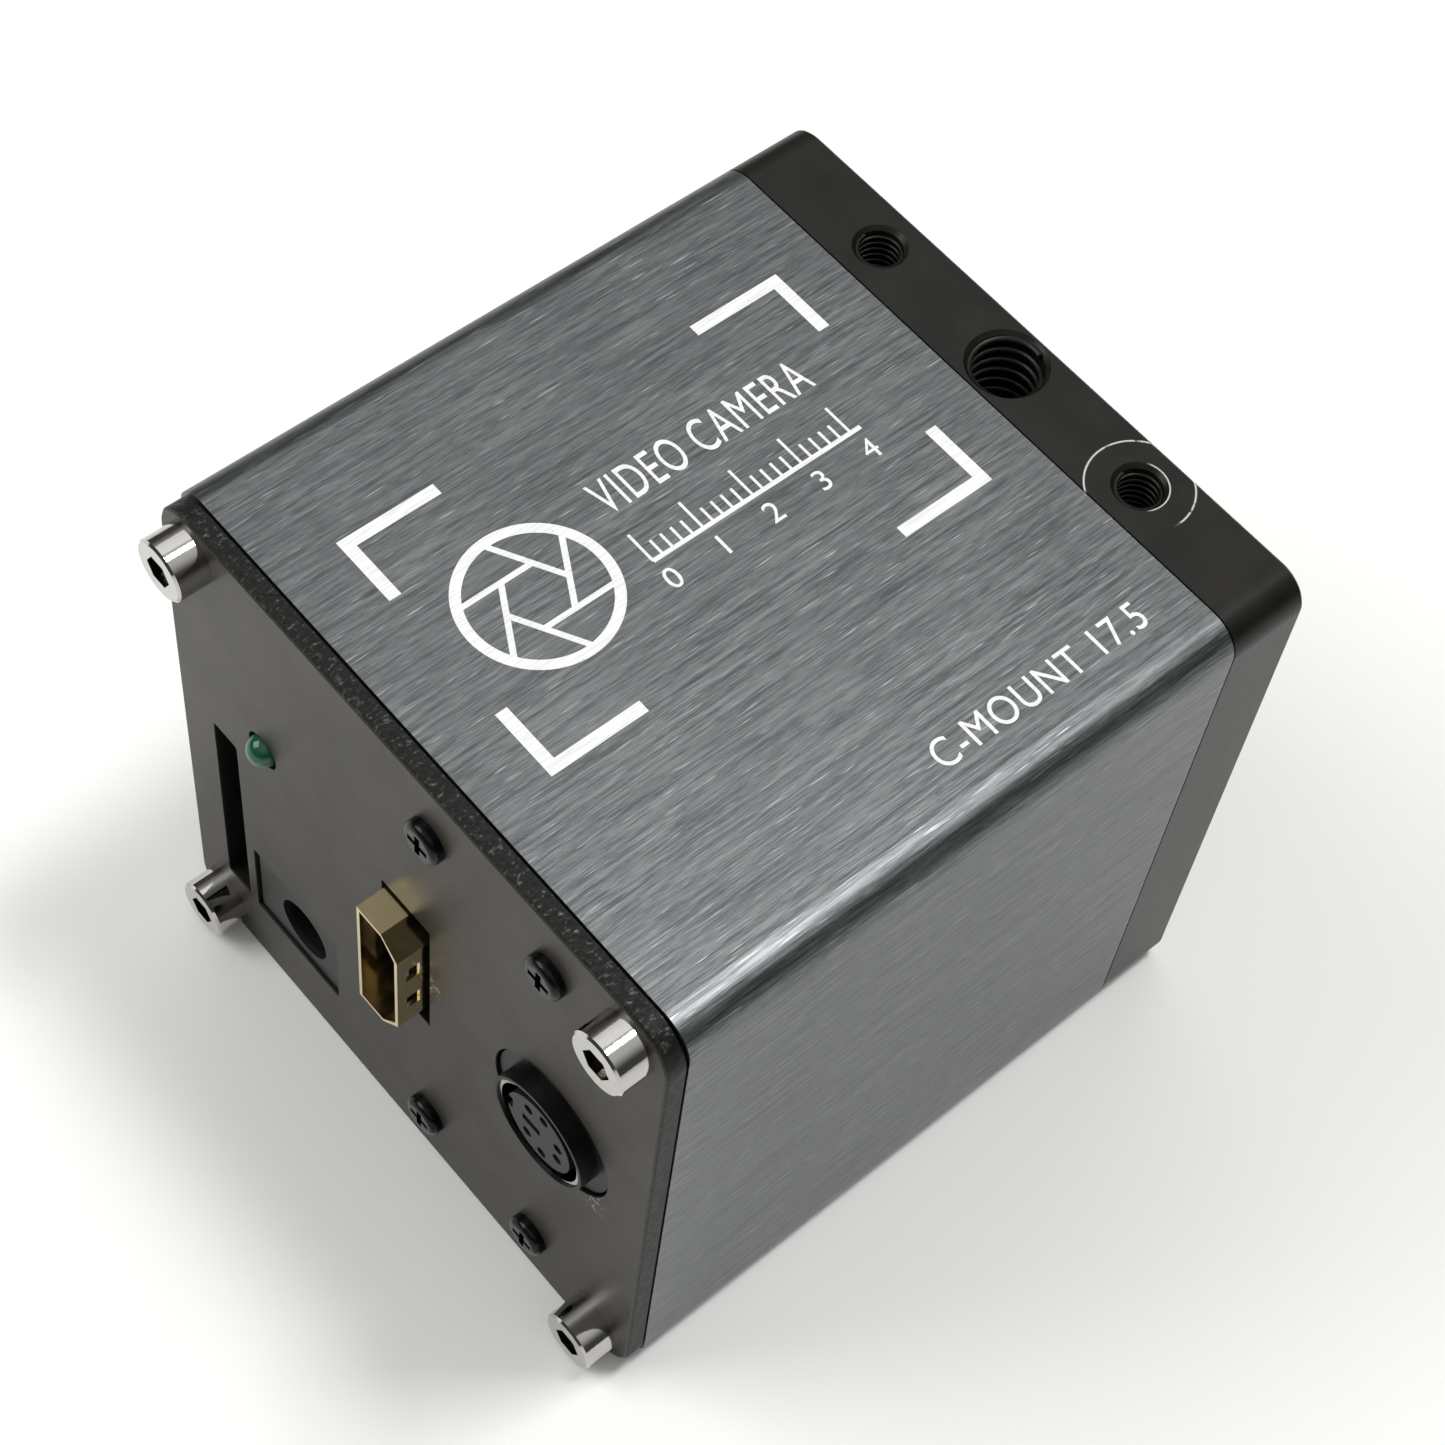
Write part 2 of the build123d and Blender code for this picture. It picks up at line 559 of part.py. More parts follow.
# Compression spring between the carriage and the end of its pocket.
SPRING_L = CHANNEL_END - CARRIAGE_END - SPRING_WIRE
spring_start = (sum(CHANNEL_X) / 2, CARRIAGE_END + SPRING_WIRE / 2, sum(POCKET_Z) / 2)
with BuildPart() as slider_spring:
    with BuildLine() as coil:
        Helix(SPRING_L / SPRING_TURNS, SPRING_L, SPRING_R, center=spring_start, direction=(0, 1, 0))
    with BuildSketch(Plane(origin=coil.line @ 0, z_dir=coil.line % 0)):
        Circle(SPRING_WIRE / 2)
    sweep(path=coil.line, is_frenet=True)
save(slider_spring, "slider_spring")

# ---------------------------------------------------------------- power jack

JACK_X = (POWER_FACE + SOLDER_GAP, POWER_FACE + JACK_W)
BORE_X = POWER_FACE + JACK_BORE_RISE
BORE_Z = JACK_Z - JACK_BORE_DROP
BORE_END = Y_REAR + JACK_BORE_DEPTH
SPRING_X = BORE_X + JACK_BORE_R            # contact spring, on the bore's +X side
with BuildPart() as jack_body:
    block(JACK_X, (Y_REAR + JACK_SINK, Y_REAR + JACK_FLANGE), about(JACK_Z, JACK_H))
    with BuildSketch(at_y(Y_REAR + JACK_L)):
        with Locations((BORE_X, BORE_Z)):
            Circle(JACK_BARREL_R)
        with Locations(((JACK_X[0] + BORE_X) / 2, BORE_Z)):
            Rectangle(BORE_X - JACK_X[0], 2 * JACK_BARREL_R)
    extrude(amount=JACK_L - JACK_FLANGE)
    with BuildSketch(at_y(BORE_END)):
        with Locations((BORE_X, BORE_Z)):
            Circle(JACK_BORE_R)
    extrude(amount=JACK_BORE_DEPTH, mode=Mode.SUBTRACT)
    with BuildSketch(at_y(BORE_END + JACK_PIN_ROOT)):
        with Locations((BORE_X, BORE_Z)):
            Circle(JACK_PIN_R + THREAD_GAP)
    extrude(amount=JACK_PIN_ROOT, mode=Mode.SUBTRACT)
    slot_x = (SPRING_X - 2 * JACK_SPRING_T, SPRING_X + JACK_SPRING_T + CUT_GAP)
    slot_y = (Y_REAR + JACK_SPRING_Y, Y_REAR + JACK_L)
    block(slot_x, slot_y, about(BORE_Z, JACK_SPRING_W + 2 * CUT_GAP), Mode.SUBTRACT)
save(jack_body, "jack_body")

with BuildPart() as jack_pin:
    with BuildSketch(at_y(BORE_END + JACK_PIN_ROOT)):
        with Locations((BORE_X, BORE_Z)):
            Circle(JACK_PIN_R)
    extrude(amount=JACK_BORE_DEPTH + JACK_PIN_ROOT - JACK_PIN_BACK)
    fillet(jack_pin.faces().sort_by(Axis.Y)[0].edges(), JACK_PIN_R * 0.6)
save(jack_pin, "jack_pin")

# Side spring that presses on the plug's sleeve.
with BuildPart() as jack_spring:
    spring_y = (slot_y[0] + CUT_GAP, slot_y[1] - CUT_GAP)
    with BuildSketch(Plane.XY.offset(BORE_Z)):
        Polygon(
            (SPRING_X, spring_y[0]),
            (SPRING_X - 1.5 * JACK_SPRING_T, spring_y[0] + JACK_SPRING_BEND),
            (SPRING_X, spring_y[0] + 2 * JACK_SPRING_BEND),
            (SPRING_X, spring_y[1]),
            (SPRING_X + JACK_SPRING_T, spring_y[1]),
            (SPRING_X + JACK_SPRING_T, spring_y[0] + 2 * JACK_SPRING_BEND),
            (SPRING_X - 0.5 * JACK_SPRING_T, spring_y[0] + JACK_SPRING_BEND),
            (SPRING_X + JACK_SPRING_T, spring_y[0]),
            align=None,
        )
    extrude(amount=JACK_SPRING_W / 2, both=True)
save(jack_spring, "jack_spring")

# ---------------------------------------------------------------- status lamp

LED_X = POWER_FACE + LED_RISE
DOME_Y = Y_REAR + LED_SINK
LED_BACK = DOME_Y - LED_R + LED_L
with BuildPart() as status_lamp:
    with BuildSketch(at_y(LED_BACK)):
        with Locations((LED_X, LED_Z)):
            Circle(LED_R)
    extrude(amount=LED_BACK - DOME_Y)
    with Locations((LED_X, DOME_Y, LED_Z)):
        Sphere(LED_R)
    with BuildSketch(at_y(LED_BACK)):
        with Locations((LED_X, LED_Z)):
            Circle(LED_FLANGE_R)
    extrude(amount=LED_FLANGE_T)
save(status_lamp, "status_lamp")

with BuildPart() as lamp_legs:
    for leg_z in (LED_Z - LED_LEG_SPREAD, LED_Z + LED_LEG_SPREAD):
        leg_x = about(LED_X, LED_LEG)
        turn_y = (LED_BACK + LED_LEG_L, LED_BACK + LED_LEG_L + LED_LEG)
        block(leg_x, (LED_BACK, turn_y[1]), about(leg_z, LED_LEG))
        block((POWER_FACE, leg_x[0]), turn_y, about(leg_z, LED_LEG))
save(lamp_legs, "lamp_legs")

# ---------------------------------------------------------------- video socket


def video_points(inset):
    """Outline of the video socket, drawn in by inset: full width at -X, narrow at +X."""
    wide, narrow = VIDEO_WIDE / 2 - inset, VIDEO_NARROW / 2 - 0.6 * inset
    low, step = VIDEO_X + inset, VIDEO_X + VIDEO_STEP
    high = VIDEO_X + VIDEO_TALL - inset
    return [
        (low, VIDEO_Z - wide),
        (low, VIDEO_Z + wide),
        (step, VIDEO_Z + wide),
        (high, VIDEO_Z + narrow),
        (high, VIDEO_Z - narrow),
        (step, VIDEO_Z - wide),
    ]


BLOCK_Y = VIDEO_END - VIDEO_BLOCK_L
TONGUE_X = about(VIDEO_X + VIDEO_TALL / 2, VIDEO_TONGUE[0])
with BuildPart() as video_shell:
    with BuildSketch(at_y(VIDEO_END)):
        Polygon(*video_points(0), align=None)
        Polygon(*video_points(VIDEO_SHEET), align=None, mode=Mode.SUBTRACT)
    extrude(amount=VIDEO_L)
    for window_z in (VIDEO_Z - VIDEO_WINDOW_Z, VIDEO_Z + VIDEO_WINDOW_Z):
        window_x = (VIDEO_X + VIDEO_TALL - 2 * VIDEO_SHEET, VIDEO_X + VIDEO_TALL)
        window_y = (VIDEO_TIP + VIDEO_WINDOW_Y, VIDEO_TIP + VIDEO_WINDOW_Y + VIDEO_WINDOW[0])
        block(window_x, window_y, about(window_z, VIDEO_WINDOW[1]), Mode.SUBTRACT)
save(video_shell, "video_shell")

with BuildPart() as video_tongue:
    with BuildSketch(at_y(VIDEO_END)):
        Polygon(*video_points(VIDEO_SHEET + SOLDER_GAP), align=None)
    extrude(amount=VIDEO_BLOCK_L)
    block(TONGUE_X, (VIDEO_TIP + VIDEO_TONGUE_BACK, BLOCK_Y), about(VIDEO_Z, VIDEO_TONGUE[1]))
save(video_tongue, "video_tongue")

# Contacts in two rows, half a pitch apart, one row on each face of the tongue.
with BuildPart() as video_contacts:
    for i in range(VIDEO_CONTACTS):
        strip_z = VIDEO_Z + (i - (VIDEO_CONTACTS - 1) / 2) * VIDEO_PITCH
        on_low = i % 2 == 1
        strip_x = (
            (TONGUE_X[0] - VIDEO_STRIP[1], TONGUE_X[0])
            if on_low
            else (TONGUE_X[1], TONGUE_X[1] + VIDEO_STRIP[1])
        )
        strip_y = (VIDEO_TIP + VIDEO_TONGUE_BACK + 0.5, BLOCK_Y)
        block(strip_x, strip_y, about(strip_z, VIDEO_STRIP[0]))
save(video_contacts, "video_contacts")

# ---------------------------------------------------------------- control socket

NOSE_TIP = Y_REAR - DIN_PROUD
DIN_FRONT = Y_SHELL + MOUTH_GAP
DIN_END = DIN_FRONT + DIN_BODY_L
DIN_CORE_END = DIN_END - DIN_WALL
DIN_PINS = [(DIN_X + row_x, DIN_Z + way * reach) for row_x, reach in DIN_PIN_ROWS for way in (-1, 1)]
with BuildPart() as din_body:
    block((CONTROL_FACE + SOLDER_GAP, DIN_X + DIN_BODY / 2), (DIN_FRONT, DIN_END), about(DIN_Z, DIN_BODY))
    with BuildSketch(at_y(DIN_FRONT)):
        with Locations((DIN_X, DIN_Z)):
            Circle(DIN_HOLE_R - DIN_FLANGE_GAP)
    extrude(amount=DIN_FRONT - Y_REAR - DIN_FLANGE_SINK)
    with BuildSketch(at_y(DIN_FRONT)):
        with Locations((DIN_X, DIN_Z)):
            Circle(DIN_NOSE_R)
    extrude(amount=DIN_FRONT - NOSE_TIP)
    with BuildSketch(at_y(DIN_CORE_END)):
        with Locations((DIN_X, DIN_Z)):
            Circle(DIN_BORE_R)
    extrude(amount=DIN_CORE_END - NOSE_TIP, mode=Mode.SUBTRACT)
save(din_body, "din_body")

with BuildPart() as din_ring:
    with BuildSketch(at_y(DIN_CORE_END - DIN_WALL)):
        with Locations((DIN_X, DIN_Z)):
            Circle(DIN_BORE_R - SOLDER_GAP)
            Circle(DIN_BORE_R - SOLDER_GAP - DIN_RING_T, mode=Mode.SUBTRACT)
    extrude(amount=DIN_CORE_END - DIN_WALL - NOSE_TIP - DIN_RING_BACK)
save(din_ring, "din_ring")

# Insulator: a plug with pin holes and a key slot, on a base that closes the bore.
with BuildPart() as din_insulator:
    with BuildSketch(at_y(DIN_CORE_END)):
        with Locations((DIN_X, DIN_Z)):
            Circle(DIN_BORE_R - SOLDER_GAP)
    extrude(amount=DIN_WALL - SOLDER_GAP)
    with BuildSketch(at_y(DIN_CORE_END)):
        with Locations((DIN_X, DIN_Z)):
            Circle(DIN_CORE_R)
        with Locations(*DIN_PINS):
            Circle(DIN_PIN_R, mode=Mode.SUBTRACT)
        with Locations((DIN_X - DIN_KEY_SIDE, DIN_Z)):
            Rectangle(*DIN_KEY, mode=Mode.SUBTRACT)
        with Locations((DIN_X - DIN_CORE_R, DIN_Z)):
            Rectangle(2 * DIN_NOTCH[0], DIN_NOTCH[1], mode=Mode.SUBTRACT)
    extrude(amount=DIN_CORE_END - NOSE_TIP - DIN_CORE_BACK)
save(din_insulator, "din_insulator")

with BuildPart() as din_contacts:
    with BuildSketch(at_y(DIN_CORE_END - DIN_WALL)):
        with Locations(*DIN_PINS):
            Circle(DIN_PIN_R - THREAD_GAP)
            Circle(DIN_PIN_R - 3 * THREAD_GAP, mode=Mode.SUBTRACT)
    extrude(amount=DIN_CONTACT_L)
save(din_contacts, "din_contacts")

# ---------------------------------------------------------------- lens mount

RING_END = Y_FLANGE - RING_L
THREAD_END = Y_FLANGE - LENS_CHAMFER - LENS_THREAD_L
WEB_END = THREAD_END - RING_WEB
with BuildPart() as c_mount_ring:
    with BuildSketch(at_y(Y_FLANGE)):
        with Locations((0, MID_Z)):
            Circle(RING_R - RUN_GAP)
            Circle(RING_STOP_R, mode=Mode.SUBTRACT)
    extrude(amount=RING_L)
    with BuildSketch(at_y(Y_FLANGE)):
        with Locations((0, MID_Z)):
            Circle(LENS_THREAD_R)
    extrude(amount=Y_FLANGE - THREAD_END, mode=Mode.SUBTRACT)
    with BuildSketch(at_y(WEB_END)):
        with Locations((0, MID_Z)):
            Circle(FILTER_R)
    extrude(amount=WEB_END - RING_END, mode=Mode.SUBTRACT)
    mouth = c_mount_ring.faces().sort_by(Axis.Y)[-1]
    chamfer(mouth.inner_wires().edges(), LENS_CHAMFER)
    chamfer(mouth.outer_wire().edges(), EDGE_BREAK)
    for notch_x in (-1, 1):
        notch_mid = notch_x * (LENS_THREAD_R + RING_R) / 2
        notch_y = (Y_FLANGE - RING_NOTCH[1], Y_FLANGE)
        block(about(notch_mid, RING_NOTCH[0]), notch_y, about(MID_Z, RING_NOTCH[0]), Mode.SUBTRACT)
save(c_mount_ring, "c_mount_ring")

# Ring that locks the mount ring, sunk in the front block's pocket.
with BuildPart() as lock_ring:
    with BuildSketch(at_y(Y_FACE)):
        with Locations((0, MID_Z)):
            Circle(LOCK_R)
            Circle(RING_R, mode=Mode.SUBTRACT)
    extrude(amount=LOCK_T)
    with BuildSketch(at_y(Y_FACE)):
        with Locations((0, MID_Z)):
            with PolarLocations(LOCK_R, 4, 45):
                Rectangle(2 * LOCK_NOTCH[1], LOCK_NOTCH[0])
    extrude(amount=LOCK_T, mode=Mode.SUBTRACT)
save(lock_ring, "lock_ring")

# Filter stack in the back of the ring: gasket against the web, then glass, then retainer.
GLASS_FRONT = WEB_END - GASKET_T
GLASS_BACK = GLASS_FRONT - FILTER_T
for name, front, thickness, hole_r in (
    ("filter_gasket", WEB_END, GASKET_T, RING_STOP_R + 0.4),
    ("filter_glass", GLASS_FRONT, FILTER_T, 0),
    ("filter_retainer", GLASS_BACK, RETAINER_T, RING_STOP_R + 0.4),
):
    with BuildPart() as layer:
        with BuildSketch(at_y(front)):
            with Locations((0, MID_Z)):
                Circle(FILTER_R - THREAD_GAP)
                if hole_r:
                    Circle(hole_r, mode=Mode.SUBTRACT)
        extrude(amount=thickness)
        if name == "filter_retainer":
            for notch_z in (-1, 1):
                middle = MID_Z + notch_z * FILTER_R
                block(
                    about(0, RING_NOTCH[0]),
                    (front - thickness, front - thickness + RING_NOTCH[1]),
                    about(middle, 2 * RING_NOTCH[0]),
                    Mode.SUBTRACT,
                )
    save(layer, name)

# ---------------------------------------------------------------- sensor

with BuildPart() as sensor_board:
    with BuildSketch(at_y(SENSOR_FRONT)):
        with Locations((0, MID_Z)):
            RectangleRounded(SENSOR_SIDE, SENSOR_SIDE, 2.0)
            with GridLocations(2 * STANDOFF_REACH, 2 * STANDOFF_REACH, 2, 2):
                Circle(M25_R + HOLE_GAP, mode=Mode.SUBTRACT)
    extrude(amount=BOARD_T)
save(sensor_board, "sensor_board")

# Round spacers from the front block to the sensor board, each with a stud and a tapped end.
with BuildPart() as sensor_standoffs:
    for face, end, radius in (
        (Y_BLOCK, SENSOR_FRONT, STANDOFF_R),
        (Y_BLOCK + STANDOFF_STUD - HOLE_GAP, Y_BLOCK, M25_R - THREAD_GAP),
    ):
        with BuildSketch(at_y(face)):
            with Locations((0, MID_Z)):
                with GridLocations(2 * STANDOFF_REACH, 2 * STANDOFF_REACH, 2, 2):
                    Circle(radius)
        extrude(amount=face - end)
    with BuildSketch(at_y(SENSOR_FRONT + M25_LENGTH)):
        with Locations((0, MID_Z)):
            with GridLocations(2 * STANDOFF_REACH, 2 * STANDOFF_REACH, 2, 2):
                Circle(M25_R)
    extrude(amount=M25_LENGTH, mode=Mode.SUBTRACT)
save(sensor_standoffs, "sensor_standoffs")

with BuildPart(at_y(SENSOR_BACK)) as sensor_screws:
    with Locations((0, MID_Z)):
        with GridLocations(2 * STANDOFF_REACH, 2 * STANDOFF_REACH, 2, 2):
            add(rail_screw)
save(sensor_screws, "sensor_screws")

RIM_Y = IMAGE_Y + PACKAGE_RIM
with BuildPart() as image_sensor:
    with BuildSketch(at_y(RIM_Y)):
        with Locations((0, MID_Z)):
            RectangleRounded(PACKAGE[0], PACKAGE[1], 0.5)
    extrude(amount=RIM_Y - SENSOR_FRONT - SOLDER_GAP)
    well = (DIE[0] + 3.0, DIE[1] + 3.0)
    block(about(0, well[0]), (IMAGE_Y - DIE[2], RIM_Y), about(MID_Z, well[1]), Mode.SUBTRACT)
save(image_sensor, "image_sensor")

with BuildPart() as sensor_die:
    block(about(0, DIE[0]), (IMAGE_Y - DIE[2], IMAGE_Y), about(MID_Z, DIE[1]))
save(sensor_die, "sensor_die")

with BuildPart() as sensor_glass:
    glass_size = (PACKAGE[0] - 1.2, PACKAGE[1] - 1.2)
    block(about(0, glass_size[0]), (RIM_Y, RIM_Y + SENSOR_GLASS_T), about(MID_Z, glass_size[1]))
save(sensor_glass, "sensor_glass")

# ---------------------------------------------------------------- parts on the boards

# Processor, thermal pad and finned heat sink, stacked on the main board's -X face.
PROCESSOR_Y = (VIDEO_END + MAIN_END) / 2
PROCESSOR_TOP = MAIN_X - SOLDER_GAP - PROCESSOR[1]
with BuildPart() as processor:
    processor_y = about(PROCESSOR_Y, PROCESSOR[0])
    processor_x = (PROCESSOR_TOP, MAIN_X - SOLDER_GAP)
    block(processor_x, processor_y, about(MID_Z, PROCESSOR[0]))
    chamfer(processor.faces().sort_by(Axis.X)[0].edges(), 0.3)
save(processor, "processor")

with BuildPart() as thermal_pad:
    pad_y = about(PROCESSOR_Y, PROCESSOR[0] - 1.0)
    block((PROCESSOR_TOP - PAD_T, PROCESSOR_TOP), pad_y, about(MID_Z, PROCESSOR[0] - 1.0))
save(thermal_pad, "thermal_pad")

with BuildPart() as heat_sink:
    base_x = (PROCESSOR_TOP - PAD_T - SINK_BASE, PROCESSOR_TOP - PAD_T)
    block(base_x, about(PROCESSOR_Y, SINK_SIZE), about(MID_Z, SINK_SIZE))
    fin_pitch = (SINK_SIZE - SINK_FIN[0]) / (SINK_FINS - 1)
    for i in range(SINK_FINS):
        fin_z = MID_Z + (i - (SINK_FINS - 1) / 2) * fin_pitch
        fin_x = (base_x[0] - SINK_FIN[1], base_x[0])
        block(fin_x, about(PROCESSOR_Y, SINK_SIZE), about(fin_z, SINK_FIN[0]))
save(heat_sink, "heat_sink")

with BuildPart() as memory_chips:
    for chip_y in (PROCESSOR_Y - MEMORY[0] / 2 - 0.5, PROCESSOR_Y + MEMORY[0] / 2 + 0.5):
        chip_x = (MAIN_FACE + SOLDER_GAP, MAIN_FACE + SOLDER_GAP + MEMORY[2])
        block(chip_x, about(chip_y, MEMORY[0]), about(MID_Z, MEMORY[1]))
save(memory_chips, "memory_chips")


def leaded_chip(face_x, middle_y, middle_z):
    """Square chip with legs on two sides, standing on a board face that looks to +X."""
    side, tall = CONTROL_CHIP
    low_x = face_x + SOLDER_GAP
    block((low_x + 0.1, low_x + tall), about(middle_y, side), about(middle_z, side))
    for i in range(8):
        leg_z = middle_z + (i - 3.5) * 0.8
        for end_y in (middle_y - side / 2, middle_y + side / 2):
            block((low_x, low_x + 0.25), about(end_y, 1.6), about(leg_z, 0.35))


with BuildPart() as control_chip:
    leaded_chip(CONTROL_FACE, BOARD_Y + CONTROL_L - 8.0, DIN_Z - DIN_BODY / 2 - 5.0)
save(control_chip, "control_chip")

# Plug and socket that join the main board to the control board.
with BuildPart() as board_header:
    header_x = (MAIN_FACE + SOLDER_GAP, CONTROL_X - SOLDER_GAP)
    header_y = about(BOARD_Y + 12.0, HEADER[0])
    header_z = about(RAIL_LOW[1] + HEADER[1], HEADER[1])
    block(header_x, header_y, header_z)
save(board_header, "board_header")

with BuildPart() as inductor:
    coil_y = (Y_REAR + JACK_L + POWER_END) / 2
    coil_z = JACK_Z + JACK_H + INDUCTOR[0] / 2
    with BuildSketch(Plane.YZ.offset(POWER_FACE + SOLDER_GAP)):
        with Locations((coil_y, coil_z)):
            RectangleRounded(INDUCTOR[0], INDUCTOR[0], 2.0)
    extrude(amount=INDUCTOR[1])
save(inductor, "inductor")

with BuildPart() as capacitors:
    with BuildSketch(Plane.YZ.offset(POWER_FACE + SOLDER_GAP)):
        for side in (-1, 1):
            with Locations((coil_y + side * (CAPACITOR_R + 0.6), coil_z + INDUCTOR[0] / 2 + 5.0)):
                Circle(CAPACITOR_R)
    extrude(amount=CAPACITOR_H)
save(capacitors, "capacitors")

# ---------------------------------------------------------------- flat cables

# Sensor cable: out of a socket on the main board, round a bend and into one on the sensor
# board. Power cable: over the heat sink, from the power board to the main board.
MAIN_CABLE_X = MAIN_X - SOLDER_GAP - FLEX_SOCKET[1] / 2
POWER_CABLE_X = POWER_FACE + SOLDER_GAP + FLEX_SOCKET[1] / 2
SENSOR_CABLE_Y = SENSOR_BACK - SOLDER_GAP - FLEX_SOCKET[1] / 2
MAIN_MOUTH = MAIN_END - 1.5
SENSOR_MOUTH = -5.5
POWER_MOUTH = POWER_END - 1.5
POWER_CABLE_Y = POWER_MOUTH + 5.0
POWER_CABLE_Z = RAIL_HIGH[0] - POWER_FLEX_W / 2 - 1.0
ALONG_Y, ALONG_X = FLEX_SOCKET, (FLEX_SOCKET[1], FLEX_SOCKET[0])
with BuildPart() as flex_sockets:
    for centre_x, mouth_y, centre_z, width in (
        (MAIN_CABLE_X, MAIN_MOUTH, MID_Z, SENSOR_FLEX_W),
        (MAIN_CABLE_X, POWER_MOUTH, POWER_CABLE_Z, POWER_FLEX_W),
        (POWER_CABLE_X, POWER_MOUTH, POWER_CABLE_Z, POWER_FLEX_W),
    ):
        socket_y = (mouth_y - FLEX_SOCKET[0], mouth_y)
        slot_y = (mouth_y - FLEX_REACH - CUT_GAP, mouth_y)
        block(about(centre_x, FLEX_SOCKET[1]), socket_y, about(centre_z, width + 2.0))
        block(about(centre_x, FLEX_SLOT), slot_y, about(centre_z, width + 2 * CUT_GAP), Mode.SUBTRACT)
    socket_x = (SENSOR_MOUTH - FLEX_SOCKET[0], SENSOR_MOUTH)
    slot_x = (SENSOR_MOUTH - FLEX_REACH - CUT_GAP, SENSOR_MOUTH)
    slot_z = about(MID_Z, SENSOR_FLEX_W + 2 * CUT_GAP)
    block(socket_x, about(SENSOR_CABLE_Y, FLEX_SOCKET[1]), about(MID_Z, SENSOR_FLEX_W + 2.0))
    block(slot_x, about(SENSOR_CABLE_Y, FLEX_SLOT), slot_z, Mode.SUBTRACT)
save(flex_sockets, "flex_sockets")

for name, route, middle_z, width in (
    (
        "sensor_flex",
        (
            (MAIN_CABLE_X, MAIN_MOUTH - FLEX_REACH),
            (MAIN_CABLE_X, SENSOR_CABLE_Y),
            (SENSOR_MOUTH - FLEX_REACH, SENSOR_CABLE_Y),
        ),
        MID_Z,
        SENSOR_FLEX_W,
    ),
    (
        "power_flex",
        (
            (POWER_CABLE_X, POWER_MOUTH - FLEX_REACH),
            (POWER_CABLE_X, POWER_CABLE_Y),
            (MAIN_CABLE_X, POWER_CABLE_Y),
            (MAIN_CABLE_X, POWER_MOUTH - FLEX_REACH),
        ),
        POWER_CABLE_Z,
        POWER_FLEX_W,
    ),
):
    with BuildPart() as cable:
        with BuildSketch(Plane.XY.offset(middle_z)):
            with BuildLine():
                FilletPolyline(*route, radius=FLEX_BEND)
            trace(line_width=FLEX_T)
        extrude(amount=width / 2, both=True)
    save(cable, name)
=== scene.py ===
"""Looks of the cube-shaped C-mount video camera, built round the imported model.

Lengths are in metres. +Z is up, and +Y points out of the lens mount, so the plate with the
sockets faces -Y.
"""
import json
import math

import bmesh
import bpy
from mathutils import Matrix, Vector


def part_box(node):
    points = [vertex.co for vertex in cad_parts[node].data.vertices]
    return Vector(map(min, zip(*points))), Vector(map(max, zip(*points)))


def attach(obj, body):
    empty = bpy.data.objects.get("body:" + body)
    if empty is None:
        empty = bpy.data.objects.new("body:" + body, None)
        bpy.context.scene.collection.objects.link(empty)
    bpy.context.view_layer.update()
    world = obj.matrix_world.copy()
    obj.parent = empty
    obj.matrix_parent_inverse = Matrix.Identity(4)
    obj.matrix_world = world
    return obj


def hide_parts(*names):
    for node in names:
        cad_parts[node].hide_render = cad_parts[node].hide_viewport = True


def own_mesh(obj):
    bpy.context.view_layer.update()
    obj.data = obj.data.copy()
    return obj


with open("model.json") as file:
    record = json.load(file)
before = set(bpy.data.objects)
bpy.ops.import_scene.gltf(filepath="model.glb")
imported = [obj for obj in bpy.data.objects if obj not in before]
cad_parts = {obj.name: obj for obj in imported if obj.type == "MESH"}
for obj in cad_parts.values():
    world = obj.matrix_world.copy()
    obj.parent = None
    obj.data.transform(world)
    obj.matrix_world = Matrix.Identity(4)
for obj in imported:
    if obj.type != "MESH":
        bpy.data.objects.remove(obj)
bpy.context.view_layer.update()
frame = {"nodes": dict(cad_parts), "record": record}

# ---------------------------------------------------------------- sizes and places

MM = 0.001
PER_MM = 1000
BODY = "camera_body"

# Threads: major radius, minor radius, pitch and length
TRIPOD_THREAD = (0.003175, 0.00255, 0.00127, 0.0080)
ACCESSORY_THREAD = (0.002, 0.00162, 0.0007, 0.0070)
LENS_THREAD = (0.0127, 0.01215, 0.000794, 0.0046)
ACCESSORY_REACH = 0.0151    # tripod hole to each accessory hole
RIDGE_SUNK = 0.0001         # ridge's root inside the wall
RIDGE_START = 0.0004        # mouth to the first turn

SPRING_WIRE_R = 0.0001
SPRING_TURNS = 6.0
SPRING_SPARE = 0.00003      # left between the shortened spring and the carriage

# Marks on the top, which read along +Y with their tops towards -X
MARK_T = 0.00002            # their height; those that cross are a little lower than each other
MARKS_MIDDLE = (-0.0052, -0.0015)
FRAME_W, FRAME_H = 0.0425, 0.0245
BRACKET = (0.0085, 0.0060)
BRACKET_T = 0.0011
IRIS = Vector((-0.0128, 0.0))
IRIS_R = 0.0066
IRIS_RIM = 0.0009
IRIS_BLADES = 6
BLADE_T = 0.0005
BLADE_START = 0.45          # blade's inner end and its length, as shares of the iris's radius
BLADE_L = 1.10
SCALE_START = (-0.0040, -0.0028)
SCALE_L = 0.0210
SCALE_T = 0.0004
SCALE_STEP = 0.005          # one number to the next
TICK_W = 0.00024
TICK_L = (0.0016, 0.0030)   # small and large ticks
NUMBER_H = 0.0020
NUMBER_SHIFT = (-0.0005, -0.0030)   # large tick's foot to its number
TITLE_H = 0.0034
TITLE_RISE = 0.0024
LINE_H = 0.0026
LINE_L = 0.0212
LINE_START = (0.0247, -0.0006)
CAPITALS = 0.72             # height of a capital for a text size of 1

